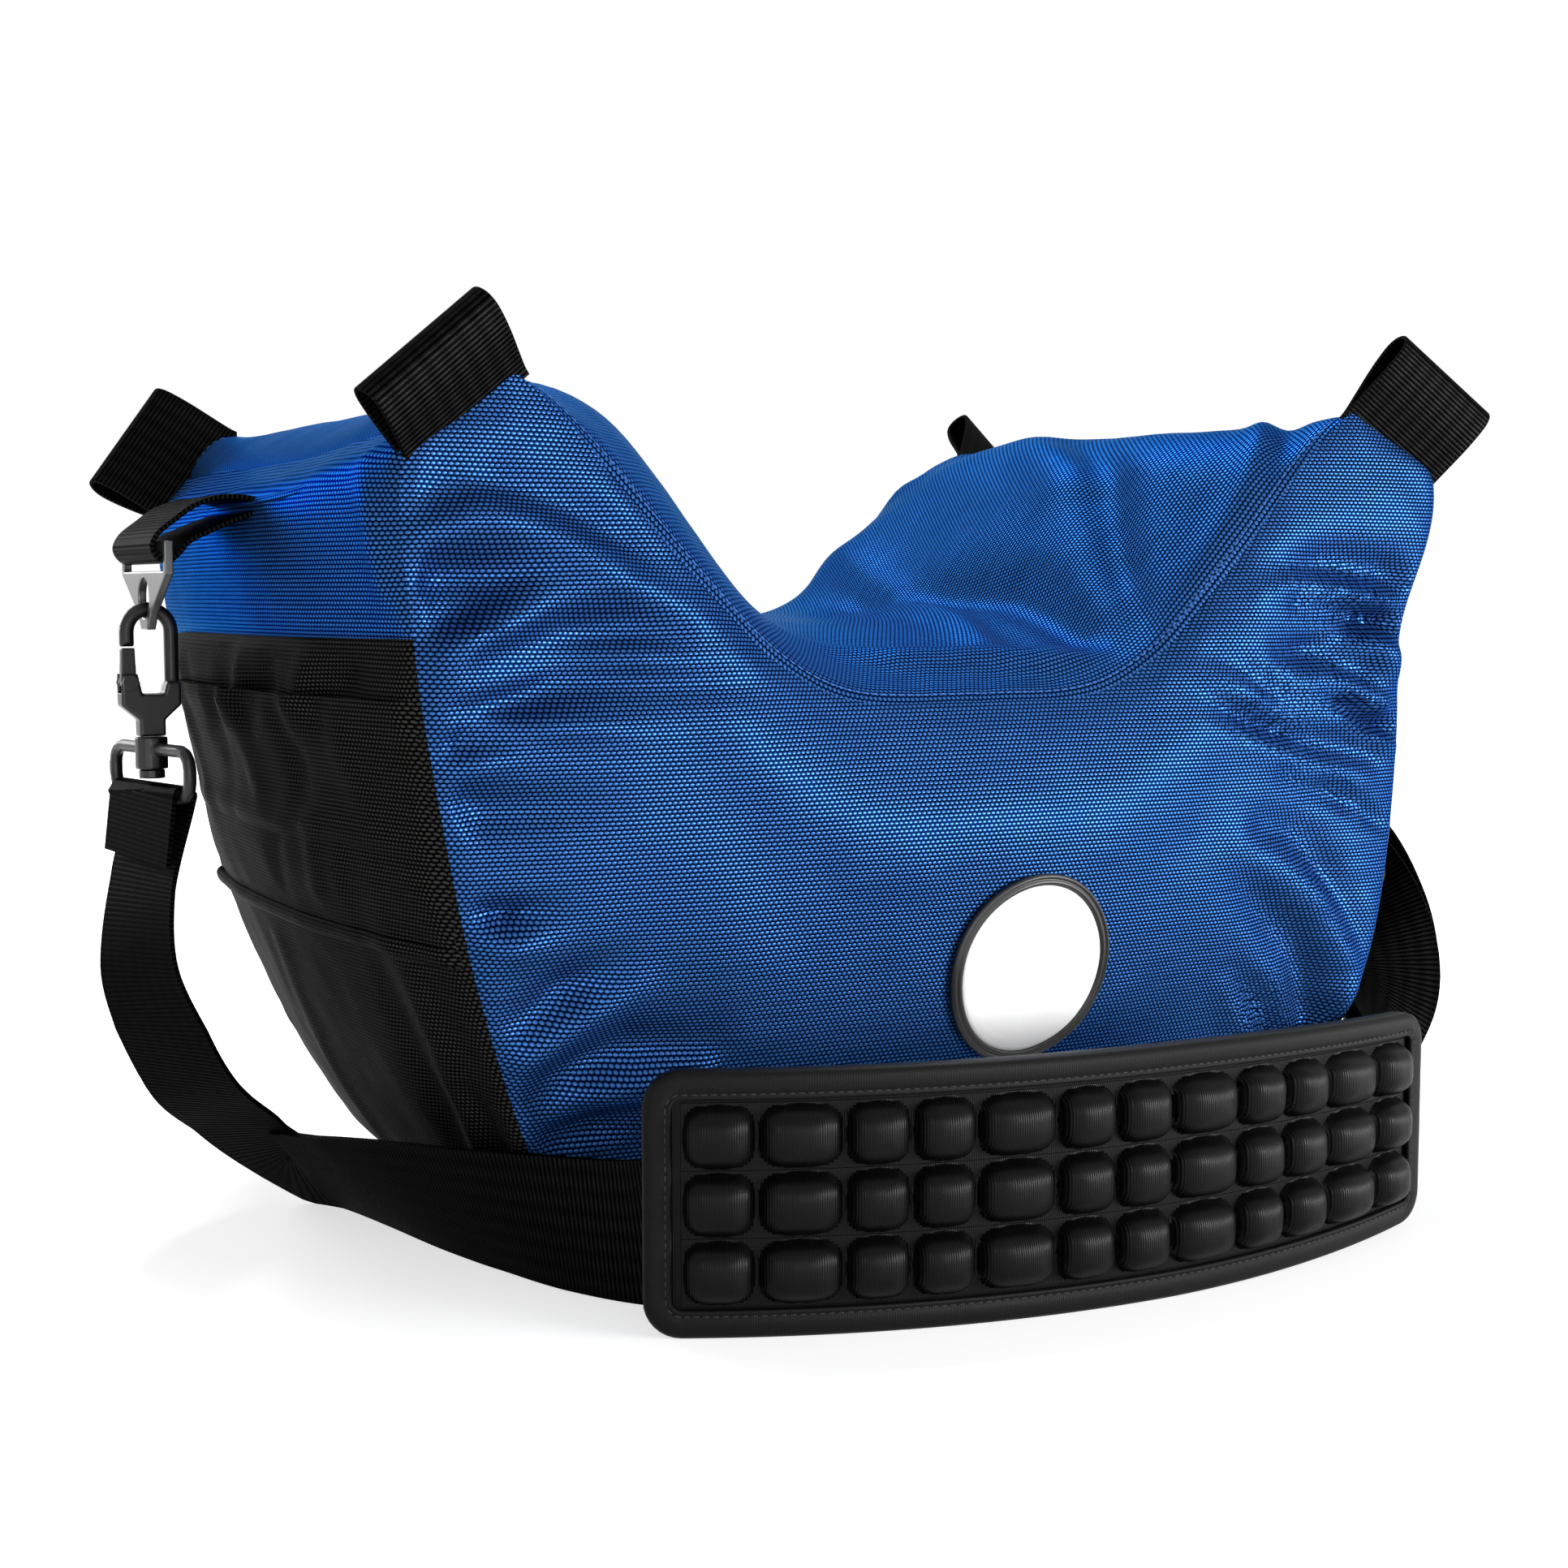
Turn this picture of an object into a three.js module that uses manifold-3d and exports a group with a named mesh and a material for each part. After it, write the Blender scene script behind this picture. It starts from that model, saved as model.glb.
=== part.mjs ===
// Saddle-shaped camera bean bag with corner loops, end pockets and a padded shoulder strap.
// Millimetres. +X runs along the bag from lobe to lobe, -Y is the front with the round patch, +Z is up.
// The origin is the centre of the flat base, on the surface that the bag stands on.
import * as THREE from 'three';
import { mergeVertices } from 'three/addons/utils/BufferGeometryUtils.js';
import Module from 'manifold-3d';

const wasm = await Module();
wasm.setup();

// ---------------------------------------------------------------- driving dimensions
const GAP = 0.3; // clearance between neighbouring pieces
const SKIN = 0.7; // clearance of a trim piece over the facets of a bulged panel
const FABRIC = 1.6; // ballistic nylon with its padding
const SEAM_GAP = 0.25; // how far each panel stops short of a mitred seam

const BASE_HALF = 146; // half length at the bottom seam
const WAIST_HALF = 190; // half length at the waist height
const CREST_HALF = 179; // half length at the crest of a lobe
const CORNER_CUT = 35; // how far a horn's diagonal cut runs outwards from the crest
const HORN_HALF = CREST_HALF + CORNER_CUT; // half length at the foot of the diagonal cut
const CORNER_HALF = CREST_HALF + CORNER_CUT * 0.55; // half length at the middle of the diagonal cut
const SHOULDER_HALF = HORN_HALF - 2; // half length at the colour seam
const BASE_SEAM_Z = 9;
const WAIST_Z = 106;
const SHOULDER_Z = 215; // seam between the coloured top and the black lower part
const HORN_Z = 268;
const CORNER_Z = 282;
const CREST_Z = 299;
const VALLEY_Z = 191; // height of the saddle's seam in the middle
const TOP_DEPTH = 130; // half depth at the top
const MID_DEPTH = 132;
const BASE_DEPTH = 106;
const FRONT_BULGE = 13;
const END_BULGE = 14;
const END_TOP_BULGE = 9;
const END_TOP_SAG = 9;
const END_BASE_BULGE = 8;
const SADDLE_BULGE = 25; // crown of the saddle panel in the valley
const SLOPE_BULGE = 36; // crown of the saddle panel on the slopes

const WEBBING = 50; // width of all the webbing
const WEBBING_THICK = 1.7;

const EYE_Z = 228; // centre of the ring's eye, the axis that the strap lifts about
const EYE_R = 7;
const RING_OUT = 45; // how far the rings hang out from the shoulder
const RING_X = SHOULDER_HALF + RING_OUT; // plane of the anchor rings, and axis of the swivels
const RING_THICK = 3;
const RING_BAR = 4; // bar that the anchor tab is folded round
const RING_NECK = 2; // metal between the eye and the webbing slot
const RING_SLOT = 6;
const RING_RIM = 4; // metal below the eye

const HOOK_BOW = 4.8; // section of the hook's bow
const HOOK_THICK = 5;
const HOOK_CHAMFER = 1.6;
const HOOK_BASE_THICK = 7;
const HOOK_INNER_R = 5.2;
const HOOK_BASE_TOP = 203;
const HOOK_BASE_BOTTOM = 186;
const NOSE_TIP_Z = 211.3;
const RIVET_Z = 199;
const RIVET_R = 1.4;
const RIVET_HEAD_R = 2.8;
const GATE_WIDTH = 4.4;
const FORK_HALF = 2.5; // half the slot that the gate turns in
const GATE_LOW = -2.2; // sides of the gate in that slot
const GATE_HIGH = 1;
const POST_R = 3;
const POST_LIP = 1.4; // how far the post's riveted head stands over its shaft
const POST_HEAD = 3;
const COLLAR_TOP = 180;
const COLLAR_HEIGHT = 11;
const COLLAR_R = 5.6;
const LOOP_WIRE_R = 2.3;
const LOOP_TOP_Z = 176;
const LOOP_BAR_Z = 160;
const LOOP_CORNER = 6;
const LOOP_YAW = THREE.MathUtils.degToRad(11); // how far the left loop has turned on its swivel

const PAD_CENTRE = new THREE.Vector3(33, 131, 0); // centre of the arc that the pad and strap lie on
const STRAP_R = 350; // middle of the webbing behind the pad
const PAD_FROM = -31.9; // degrees along the arc
const PAD_TO = 17.2;
const PAD_HEIGHT = 84;
const PAD_BASE_THICK = 5;
const PAD_CORNER = 12;
const PAD_COLUMNS = 18; // facets along the bowed pad
const SLEEVE_FROM = -21; // degrees along the arc
const SLEEVE_TO = 8;
const SLEEVE_WALL = 0.9;
const BINDING = 9; // how far the edge tape laps over the pad's face
const BINDING_THICK = 2;
const CELL_RISE = 8;
const CELL_ROWS = 3;
const CELL_WIDTHS = [23, 27, 21, 21, 27, 21, 21, 27, 21, 21, 27, 23];
const STRAP_LOW = 10; // lower edge of the webbing behind the pad
const LAYER = 4; // distance between the two layers of doubled webbing
const TAIL_FROM = 9; // degrees along the arc where the doubled end starts
const SLIDE_AT = 13; // degrees along the arc where the slide sits

const PATCH = { x: 18, z: 95, rimOuter: 35, rimInner: 31, rimThick: 2.6, discThick: 1.6 };
const POCKET = {
  bottom: 118,
  band: 150, // top of the band over the pocket's foot
  hem: 196,
  back: 0.75, // share of the half depth where the pocket ends at the back
  middle: -0.11,
  reach: 0.86,
  depth: 4, // how far the hem bows out
  thick: 1.5,
};
const FLAP_DROP = 13; // how far the flap hangs below the top seam of the end
const FLAP_THICK = 2;
const ROLL = { height: 6, edge: 2.2, crown: 3.4 }; // rolled seam under the pocket
const SEAM_REACH = 0.97; // share of the half depth that the trim of an end reaches
const ZIP = { z: 62, half: 85, height: 24, slider: 12 };

// ---------------------------------------------------------------- materials
const cloth = (color) => new THREE.MeshStandardMaterial({ color, roughness: 0.75, metalness: 0 });
const BLUE = cloth(0x1f4fa8);
const BLACK = cloth(0x202022);
const WEB = cloth(0x18181a);
const BEANS = cloth(0xe8e6e0);
const STEEL = new THREE.MeshStandardMaterial({ color: 0x2a2a2c, roughness: 0.4, metalness: 0.8 });
const PLATE = new THREE.MeshStandardMaterial({ color: 0x77787a, roughness: 0.4, metalness: 0.8 });
const WHITE = cloth(0xf2f2f0);

// ---------------------------------------------------------------- mesh helpers
const V = (x, y, z) => new THREE.Vector3(x, y, z);
const bag = new THREE.Group();

function geometryFrom(points, triangles) {
  const geometry = new THREE.BufferGeometry();
  geometry.setAttribute('position', new THREE.Float32BufferAttribute(points.flatMap((p) => p.toArray()), 3));
  geometry.setIndex(triangles.flat());
  return mergeVertices(geometry, 1e-4);
}

function volumeOf(geometry) {
  const p = geometry.attributes.position;
  const index = geometry.index;
  let total = 0;
  for (let i = 0; i < index.count; i += 3) {
    const [a, b, c] = [0, 1, 2].map((k) => new THREE.Vector3().fromBufferAttribute(p, index.getX(i + k)));
    total += a.dot(b.cross(c));
  }
  return total;
}

// Turns the faces of a closed mesh outwards.
function outward(geometry) {
  if (volumeOf(geometry) < 0) {
    const index = Array.from(geometry.index.array);
    for (let i = 0; i < index.length; i += 3) [index[i + 1], index[i + 2]] = [index[i + 2], index[i + 1]];
    geometry.setIndex(index);
  }
  return geometry;
}

// A sheet with thickness: two grids of points, joined round their edges.
function sheet(us, vs, outer, inner) {
  const points = [];
  const triangles = [];
  const rows = vs.length;
  for (const side of [outer, inner]) for (const u of us) for (const v of vs) points.push(side(u, v));
  const at = (s, i, j) => s * us.length * rows + i * rows + j;
  const quad = (a, b, c, d) => triangles.push([a, b, c], [a, c, d]);
  for (let i = 0; i + 1 < us.length; i++) {
    for (let j = 0; j + 1 < rows; j++) {
      quad(at(0, i, j), at(0, i + 1, j), at(0, i + 1, j + 1), at(0, i, j + 1));
      quad(at(1, i, j), at(1, i, j + 1), at(1, i + 1, j + 1), at(1, i + 1, j));
    }
    quad(at(0, i, 0), at(1, i, 0), at(1, i + 1, 0), at(0, i + 1, 0));
    quad(at(0, i, rows - 1), at(0, i + 1, rows - 1), at(1, i + 1, rows - 1), at(1, i, rows - 1));
  }
  for (let j = 0; j + 1 < rows; j++) {
    const n = us.length - 1;
    quad(at(0, 0, j), at(0, 0, j + 1), at(1, 0, j + 1), at(1, 0, j));
    quad(at(0, n, j), at(1, n, j), at(1, n, j + 1), at(0, n, j + 1));
  }
  return outward(geometryFrom(points, triangles));
}

// Rings of points joined one to the next, and the last to the first.
function closedLoft(rings) {
  const n = rings[0].length;
  const triangles = [];
  rings.forEach((ring, i) => {
    const next = ((i + 1) % rings.length) * n;
    for (let k = 0; k < n; k++) {
      const [a, b, c, d] = [i * n + k, i * n + ((k + 1) % n), next + ((k + 1) % n), next + k];
      triangles.push([a, b, c], [a, c, d]);
    }
  });
  return outward(geometryFrom(rings.flat(), triangles));
}

function manifoldOf(geometry) {
  const bare = new THREE.BufferGeometry();
  bare.setAttribute('position', geometry.attributes.position);
  if (geometry.index) bare.setIndex(geometry.index);
  const merged = mergeVertices(bare, 1e-4);
  const mesh = new wasm.Mesh({
    numProp: 3,
    vertProperties: new Float32Array(merged.attributes.position.array),
    triVerts: new Uint32Array(merged.index.array),
  });
  return new wasm.Manifold(mesh);
}

function geometryOf(solid) {
  const mesh = solid.getMesh();
  const geometry = new THREE.BufferGeometry();
  geometry.setAttribute('position', new THREE.Float32BufferAttribute(mesh.vertProperties, 3));
  geometry.setIndex(Array.from(mesh.triVerts));
  return geometry;
}

const join = (...parts) => geometryOf(parts.map(manifoldOf).reduce((a, b) => a.add(b)));
const cut = (body, ...tools) => {
  const rest = tools.map(manifoldOf).reduce((a, b) => a.subtract(b), manifoldOf(body));
  return geometryOf(rest);
};

function add(name, geometry, material, group = bag) {
  const mesh = new THREE.Mesh(geometry, material);
  mesh.name = name;
  group.add(mesh);
  return mesh;
}

// A flat outline in (x, y), extruded from z = low to z = high, with an optional chamfer.
function slab(shape, low, high, chamfer = 0, curveSegments = 6) {
  const geometry = new THREE.ExtrudeGeometry(shape, {
    depth: high - low - 2 * chamfer,
    bevelEnabled: chamfer > 0,
    bevelThickness: chamfer,
    bevelSize: chamfer,
    bevelOffset: -chamfer,
    bevelSegments: 1,
    curveSegments,
  });
  return geometry.translate(0, 0, low + chamfer);
}

function shapeOf(points) {
  return new THREE.Shape(points.map(([x, y]) => new THREE.Vector2(x, y)));
}

function circlePath(x, y, r, steps) {
  const points = Array.from({ length: steps }, (_, k) => {
    const angle = (-2 * Math.PI * k) / steps;
    return new THREE.Vector2(x + r * Math.cos(angle), y + r * Math.sin(angle));
  });
  return new THREE.Path(points);
}

// A number that follows smoothly through [position, value] pairs.
function through(pairs) {
  return (x) => {
    const last = pairs.length - 2;
    let i = 0;
    while (i < last && x > pairs[i + 1][0]) i++;
    const [p0, p1] = [pairs[Math.max(i - 1, 0)], pairs[i]];
    const [p2, p3] = [pairs[i + 1], pairs[Math.min(i + 2, last + 1)]];
    const span = p2[0] - p1[0];
    const t = (x - p1[0]) / span;
    const m1 = ((p2[1] - p0[1]) / (p2[0] - p0[0])) * span;
    const m2 = ((p3[1] - p1[1]) / (p3[0] - p1[0])) * span;
    const [t2, t3] = [t * t, t * t * t];
    const values = (2 * t3 - 3 * t2 + 1) * p1[1] + (3 * t2 - 2 * t3) * p2[1];
    return values + (t3 - 2 * t2 + t) * m1 + (t3 - t2) * m2;
  };
}

// ---------------------------------------------------------------- form of the filled bag
const lengthAlong = through([
  [BASE_SEAM_Z, BASE_HALF],
  [WAIST_Z * 0.45, (BASE_HALF + WAIST_HALF) / 2],
  [WAIST_Z, WAIST_HALF],
  [(WAIST_Z + SHOULDER_Z) / 2, (WAIST_HALF + SHOULDER_HALF) / 2 + 2],
  [SHOULDER_Z, SHOULDER_HALF],
  [HORN_Z, HORN_HALF],
  [CORNER_Z, CORNER_HALF],
]);
const halfLength = (z) => lengthAlong(Math.min(z, CORNER_Z));
const halfDepth = through([
  [BASE_SEAM_Z, BASE_DEPTH],
  [WAIST_Z, (BASE_DEPTH + 3 * MID_DEPTH) / 4],
  [SHOULDER_Z, MID_DEPTH],
  [CORNER_Z, TOP_DEPTH],
]);
// The saddle's seam as height over distance from the middle.
const slopeHalf = (share) => CREST_HALF * share;
const rise = (share) => VALLEY_Z + (CREST_Z - VALLEY_Z) * share;
const saddleSeam = [
  [0, VALLEY_Z],
  [slopeHalf(0.3), rise(0.02)],
  [slopeHalf(0.47), rise(0.15)],
  [slopeHalf(0.6), rise(0.34)],
  [slopeHalf(0.74), rise(0.58)],
  [slopeHalf(0.9), rise(0.87)],
  [CREST_HALF, CREST_Z],
  [CORNER_HALF, CORNER_Z],
];
// Columns of the grid, as [share of the half length, height of the top seam].
const rightColumns = saddleSeam.map(([x, z]) => [x / halfLength(z), z]);
const leftColumns = rightColumns.slice(1).reverse().map(([a, z]) => [-a, z]);
const columns = [...leftColumns, ...rightColumns];
columns[0][0] = -1;
columns[columns.length - 1][0] = 1;
const columnIndex = columns.map((_, i) => i);
const LAST = columns.length - 1;
const levels = [BASE_SEAM_Z, 46, 82, 118, 162, 190, SHOULDER_Z, 250, CORNER_Z];
const levelShare = levels.map((z) => (z - BASE_SEAM_Z) / (CORNER_Z - BASE_SEAM_Z));
const depths = [-1, -0.67, -0.33, 0, 0.33, 0.67, 1];
const SHOULDER_SHARE = levelShare[levels.indexOf(SHOULDER_Z)];

const hump = (x) => 1 - x * x;
const clampShare = (x) => Math.min(1, Math.max(-1, x));
const arch = (c) => Math.sin(Math.PI * Math.min(1, Math.max(0, c)));
const frontBulge = (a, c) => FRONT_BULGE * hump(clampShare(a)) * Math.pow(arch(c), 0.8);
const END_TAPER_FROM = 0.8; // share of the height where an end starts to flatten towards its top
function endBulge(b, c) {
  const swell = (END_BULGE - END_BASE_BULGE) * arch(Math.min(c, 0.5));
  const taper = (END_BULGE - END_TOP_BULGE) * Math.max(0, (c - END_TAPER_FROM) / (1 - END_TAPER_FROM));
  return hump(clampShare(b)) * (END_BASE_BULGE + swell - taper);
}
const endTop = (b) => CORNER_Z - END_TOP_SAG * hump(b);
const topHeight = (a) => {
  let i = 0;
  while (i < LAST - 1 && a > columns[i + 1][0]) i++;
  const t = (a - columns[i][0]) / (columns[i + 1][0] - columns[i][0]);
  return columns[i][1] + (columns[i + 1][1] - columns[i][1]) * t;
};

// Points on the faces at depth t under the surface, held back by edge from the seams. side is -1 or 1.
const levelAt = (c, top) => BASE_SEAM_Z + c * (top - BASE_SEAM_Z);
function frontPoint(side, a, c, t, edge = 0) {
  const level = levelAt(c, topHeight(a));
  const x = a * (halfLength(level) - t - edge);
  return V(x, side * (halfDepth(level) - t + frontBulge(a, c)), level + (t + edge) * (1 - 2 * c));
}
function endPoint(side, b, c, t, edge = 0, out = 0) {
  const level = levelAt(c, CORNER_Z);
  const x = side * (halfLength(level) - t + endBulge(b, c) + out);
  return V(x, b * (halfDepth(level) - t - edge), levelAt(c, endTop(b)) + (t + edge) * (1 - 2 * c));
}
// The saddle panel crowns square to its seam: a little in the valley, most on the slopes, not at the crests.
const saddleCrown = through([
  [0, SADDLE_BULGE],
  [0.25, SADDLE_BULGE + 2],
  [0.5, SLOPE_BULGE],
  [0.7, SLOPE_BULGE],
  [1, 0],
]);
const seamX = (i) => columns[i][0] * halfLength(columns[i][1]);
function saddlePoint(i, b, t, edge = 0) {
  const [a, seam] = columns[i];
  const share = Math.abs(a);
  const atEnd = Math.max(0, (share - 0.75) / 0.25);
  const [before, after] = [Math.max(i - 1, 0), Math.min(i + 1, LAST)];
  const slope = (columns[after][1] - columns[before][1]) / (seamX(after) - seamX(before));
  const crown = (hump(b) * saddleCrown(share) * (1 - atEnd)) / Math.hypot(1, slope);
  const z = seam - t + crown - hump(b) * END_TOP_SAG * atEnd;
  const x = a * (halfLength(seam) - t - edge + hump(b) * END_TOP_BULGE * atEnd) - crown * slope;
  return V(x, b * (halfDepth(seam) - t - edge), z);
}
function bottomPoint(i, b, t, edge = 0) {
  const a = columns[i][0];
  const rim = Math.min(1, Math.max(0, (Math.max(Math.abs(a), Math.abs(b)) - 0.67) / 0.33));
  const z = BASE_SEAM_Z * rim * rim + t;
  return V(a * (BASE_HALF - t - edge + hump(b) * END_BASE_BULGE), b * (BASE_DEPTH - t - edge), z);
}

// ---------------------------------------------------------------- sewn panels and filling
for (const [name, side] of [['front_panel', -1], ['back_panel', 1]]) {
  const layer = (t) => (i, c) => frontPoint(side, columns[i][0], c, t, SEAM_GAP);
  add(name, sheet(columnIndex, levelShare, layer(0), layer(FABRIC)), BLUE);
}
const saddleLayer = (t) => (i, b) => saddlePoint(i, b, t, SEAM_GAP);
add('saddle_panel', sheet(columnIndex, depths, saddleLayer(0), saddleLayer(FABRIC)), BLUE);
const bottomLayer = (t) => (i, b) => bottomPoint(i, b, t, SEAM_GAP);
add('bottom_panel', sheet(columnIndex, depths, bottomLayer(0), bottomLayer(FABRIC)), BLACK);

for (const [name, side] of [['left', -1], ['right', 1]]) {
  const layer = (t, raise) => (b, c) => endPoint(side, b, c, t, SEAM_GAP).add(V(0, 0, raise));
  const upper = levelShare.filter((c) => c >= SHOULDER_SHARE);
  const lower = levelShare.filter((c) => c <= SHOULDER_SHARE);
  const split = (c, raise) => (c === SHOULDER_SHARE ? raise : 0);
  const upperLayer = (t) => (b, c) => layer(t, split(c, GAP / 2))(b, c);
  const lowerLayer = (t) => (b, c) => layer(t, split(c, -GAP / 2))(b, c);
  add(`${name}_end_upper_panel`, sheet(depths, upper, upperLayer(0), upperLayer(FABRIC)), BLUE);
  add(`${name}_end_lower_panel`, sheet(depths, lower, lowerLayer(0), lowerLayer(FABRIC)), BLACK);
}

// The beans fill the space that the panels leave.
function filling() {
  const t = FABRIC + GAP;
  const points = [];
  const triangles = [];
  const grid = (us, vs, at) => {
    const start = points.length;
    for (const u of us) for (const v of vs) points.push(at(u, v));
    for (let i = 0; i + 1 < us.length; i++) {
      for (let j = 0; j + 1 < vs.length; j++) {
        const a = start + i * vs.length + j;
        const d = a + vs.length;
        triangles.push([a, d, d + 1], [a, d + 1, a + 1]);
      }
    }
  };
  const flip = (from) => {
    for (let i = from; i < triangles.length; i++) triangles[i].reverse();
  };
  grid(columnIndex, levelShare, (i, c) => frontPoint(-1, columns[i][0], c, t));
  let mark = triangles.length;
  grid(columnIndex, levelShare, (i, c) => frontPoint(1, columns[i][0], c, t));
  flip(mark);
  grid(columnIndex, depths, (i, b) => saddlePoint(i, b, t));
  mark = triangles.length;
  grid(columnIndex, depths, (i, b) => bottomPoint(i, b, t));
  flip(mark);
  grid(depths, levelShare, (b, c) => endPoint(1, b, c, t));
  mark = triangles.length;
  grid(depths, levelShare, (b, c) => endPoint(-1, b, c, t));
  flip(mark);
  return outward(geometryFrom(points, triangles));
}
add('bean_filling', filling(), BEANS);

// ---------------------------------------------------------------- pockets and trim on the ends
const onEnd = (side, b, z, out) => {
  const c = (z - BASE_SEAM_Z) / (endTop(b) - BASE_SEAM_Z);
  return endPoint(side, b, c, 0, 0, out).setZ(z);
};
for (const [name, side] of [['left', -1], ['right', 1]]) {
  const across = [-SEAM_REACH, -0.7, -0.4, 0, 0.4, POCKET.back];
  const up = [POCKET.bottom, POCKET.band, (POCKET.band + POCKET.hem) / 2, POCKET.hem];
  const slack = (b, z) => {
    const bow = Math.max(0, 1 - ((b - POCKET.middle) / POCKET.reach) ** 2);
    return POCKET.depth * bow * ((z - POCKET.bottom) / (POCKET.hem - POCKET.bottom));
  };
  const pocket = (t) => (b, z) => onEnd(side, b, z, SKIN + slack(b, z) + t);
  add(`${name}_pocket`, sheet(across, up, pocket(POCKET.thick), pocket(0)), BLACK);

  const bandUp = [POCKET.bottom, (POCKET.bottom + POCKET.band) / 2, POCKET.band];
  const band = (t) => (b, z) => onEnd(side, b, z, SKIN + slack(b, z) + POCKET.thick + GAP + t);
  add(`${name}_pocket_band`, sheet(across, bandUp, band(POCKET.thick), band(0)), BLACK);

  const seamUp = [ROLL.height, ROLL.height / 2, 0].map((drop) => POCKET.bottom - GAP - drop);
  const seamAcross = [-SEAM_REACH, -0.7, -0.4, 0, 0.4, 0.7, SEAM_REACH];
  const rolled = (b, z) => onEnd(side, b, z, SKIN + (z === seamUp[1] ? ROLL.crown : ROLL.edge));
  const under = (b, z) => onEnd(side, b, z, SKIN);
  add(`${name}_rolled_seam`, sheet(seamAcross, seamUp, rolled, under), BLACK);

  // Flap of the top seam, from the end face over the edge to the lobe.
  const flapAcross = [-0.8, -0.53, -0.27, 0, 0.27, 0.53, 0.8];
  const flap = (t) => (b, step) => {
    const top = endTop(b);
    if (step === 0) return onEnd(side, b, top - FLAP_DROP, SKIN + t);
    const edge = onEnd(side, b, top, 0);
    return edge.add(V(side * (GAP + t), 0, GAP + t));
  };
  add(`${name}_seam_flap`, sheet(flapAcross, [0, 1], flap(FLAP_THICK), flap(0)), BLUE);
}

// ---------------------------------------------------------------- webbing loops
// Outline of webbing folded round a circle: a long drop from its root at (0, 0) to the fold at (length, 0).
function dropShape(length, foldR, rootHalf, thick, steps = 8) {
  const centre = length - foldR;
  const outline = (r, half, start) => {
    const points = [[start, -half]];
    for (let k = 0; k <= steps; k++) {
      const angle = -Math.PI / 2 + (Math.PI * k) / steps;
      points.push([centre + r * Math.cos(angle), r * Math.sin(angle)]);
    }
    points.push([start, half]);
    return points;
  };
  const shape = shapeOf(outline(foldR, rootHalf, 0));
  const hole = outline(foldR - thick, Math.max(rootHalf - thick, 0.3), thick * 3);
  shape.holes.push(new THREE.Path(hole.map(([x, y]) => new THREE.Vector2(x, y))));
  return shape;
}

// A folded length of webbing that points in a direction from its root, with its width along another.
function foldedWebbing(length, foldR, direction, along, root) {
  const geometry = slab(dropShape(length, foldR, WEBBING_THICK, WEBBING_THICK), -WEBBING / 2, WEBBING / 2);
  const thickness = new THREE.Vector3().crossVectors(along, direction);
  return geometry.applyMatrix4(new THREE.Matrix4().makeBasis(direction, thickness, along).setPosition(root));
}

const LOOP_LENGTH = 36;
const LOOP_FOLD_R = 6.5;
// Each loop with the horn it is sewn to, the way it leans, and its root's height over the diagonal cut.
const cornerLoops = [
  ['corner_loop_front_left', -1, -1, V(-0.6, -0.3, 0.74), 0.5],
  ['corner_loop_back_left', -1, 1, V(-0.78, 0.47, 0.42), 0.8],
  ['corner_loop_front_right', 1, -1, V(0.53, -0.32, 0.79), 0.5],
  ['corner_loop_back_right', 1, 1, V(0.66, 0.62, 0.43), 1.1],
];
const cutRun = V(HORN_HALF - CREST_HALF, 0, HORN_Z - CREST_Z); // along the diagonal cut of the right horns
for (const [name, sx, sy, lean, stand] of cornerLoops) {
  const along = V(sx * cutRun.x, 0, cutRun.z).normalize();
  const outwards = V(-sx * cutRun.z, 0, cutRun.x).normalize();
  const middle = V((sx * (HORN_HALF + CREST_HALF)) / 2, sy * (TOP_DEPTH - 1), (HORN_Z + CREST_Z) / 2);
  const direction = lean.clone().addScaledVector(along, -lean.dot(along)).normalize();
  const root = middle.clone().addScaledVector(outwards, stand);
  add(name, foldedWebbing(LOOP_LENGTH, LOOP_FOLD_R, direction, along, root), WEB);
}

// ---------------------------------------------------------------- hardware at each end
// Built for an end at +X and turned half a turn for the other; local x = 0 is the ring's plane.
const BAR_LOW = EYE_Z + EYE_R + RING_NECK + RING_SLOT;
const BAR_HIGH = BAR_LOW + RING_BAR;
const RING_HALF = WEBBING / 2 + 3;
const TAB_ROOT_Z = CORNER_Z - END_TOP_SAG - FLAP_DROP - WEBBING_THICK - GAP; // just under the flap's edge
const TAB_ROOT_X = onEnd(1, 0, TAB_ROOT_Z, 0).x - RING_X + WEBBING_THICK / 2;

function ringGeometry() {
  const shape = shapeOf([
    [-RING_HALF, BAR_HIGH],
    [-RING_HALF, BAR_LOW - RING_SLOT - 1],
    [-(EYE_R + RING_RIM) * 0.8, EYE_Z - EYE_R * 0.7],
    [-4, EYE_Z - EYE_R - RING_RIM],
    [4, EYE_Z - EYE_R - RING_RIM],
    [(EYE_R + RING_RIM) * 0.8, EYE_Z - EYE_R * 0.7],
    [RING_HALF, BAR_LOW - RING_SLOT - 1],
    [RING_HALF, BAR_HIGH],
  ]);
  const eye = circlePath(0, EYE_Z, EYE_R, 20);
  const slotHalf = WEBBING / 2 + 0.6;
  const slot = new THREE.Path([
    new THREE.Vector2(-slotHalf, BAR_LOW - RING_SLOT),
    new THREE.Vector2(-slotHalf, BAR_LOW),
    new THREE.Vector2(slotHalf, BAR_LOW),
    new THREE.Vector2(slotHalf, BAR_LOW - RING_SLOT),
  ]);
  shape.holes.push(eye, slot);
  // drawn in (y, z), then stood up in the plane x = 0
  const geometry = slab(shape, -RING_THICK / 2, RING_THICK / 2, 0, 10);
  return geometry.applyMatrix4(new THREE.Matrix4().makeBasis(V(0, 1, 0), V(0, 0, 1), V(1, 0, 0)));
}

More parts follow.
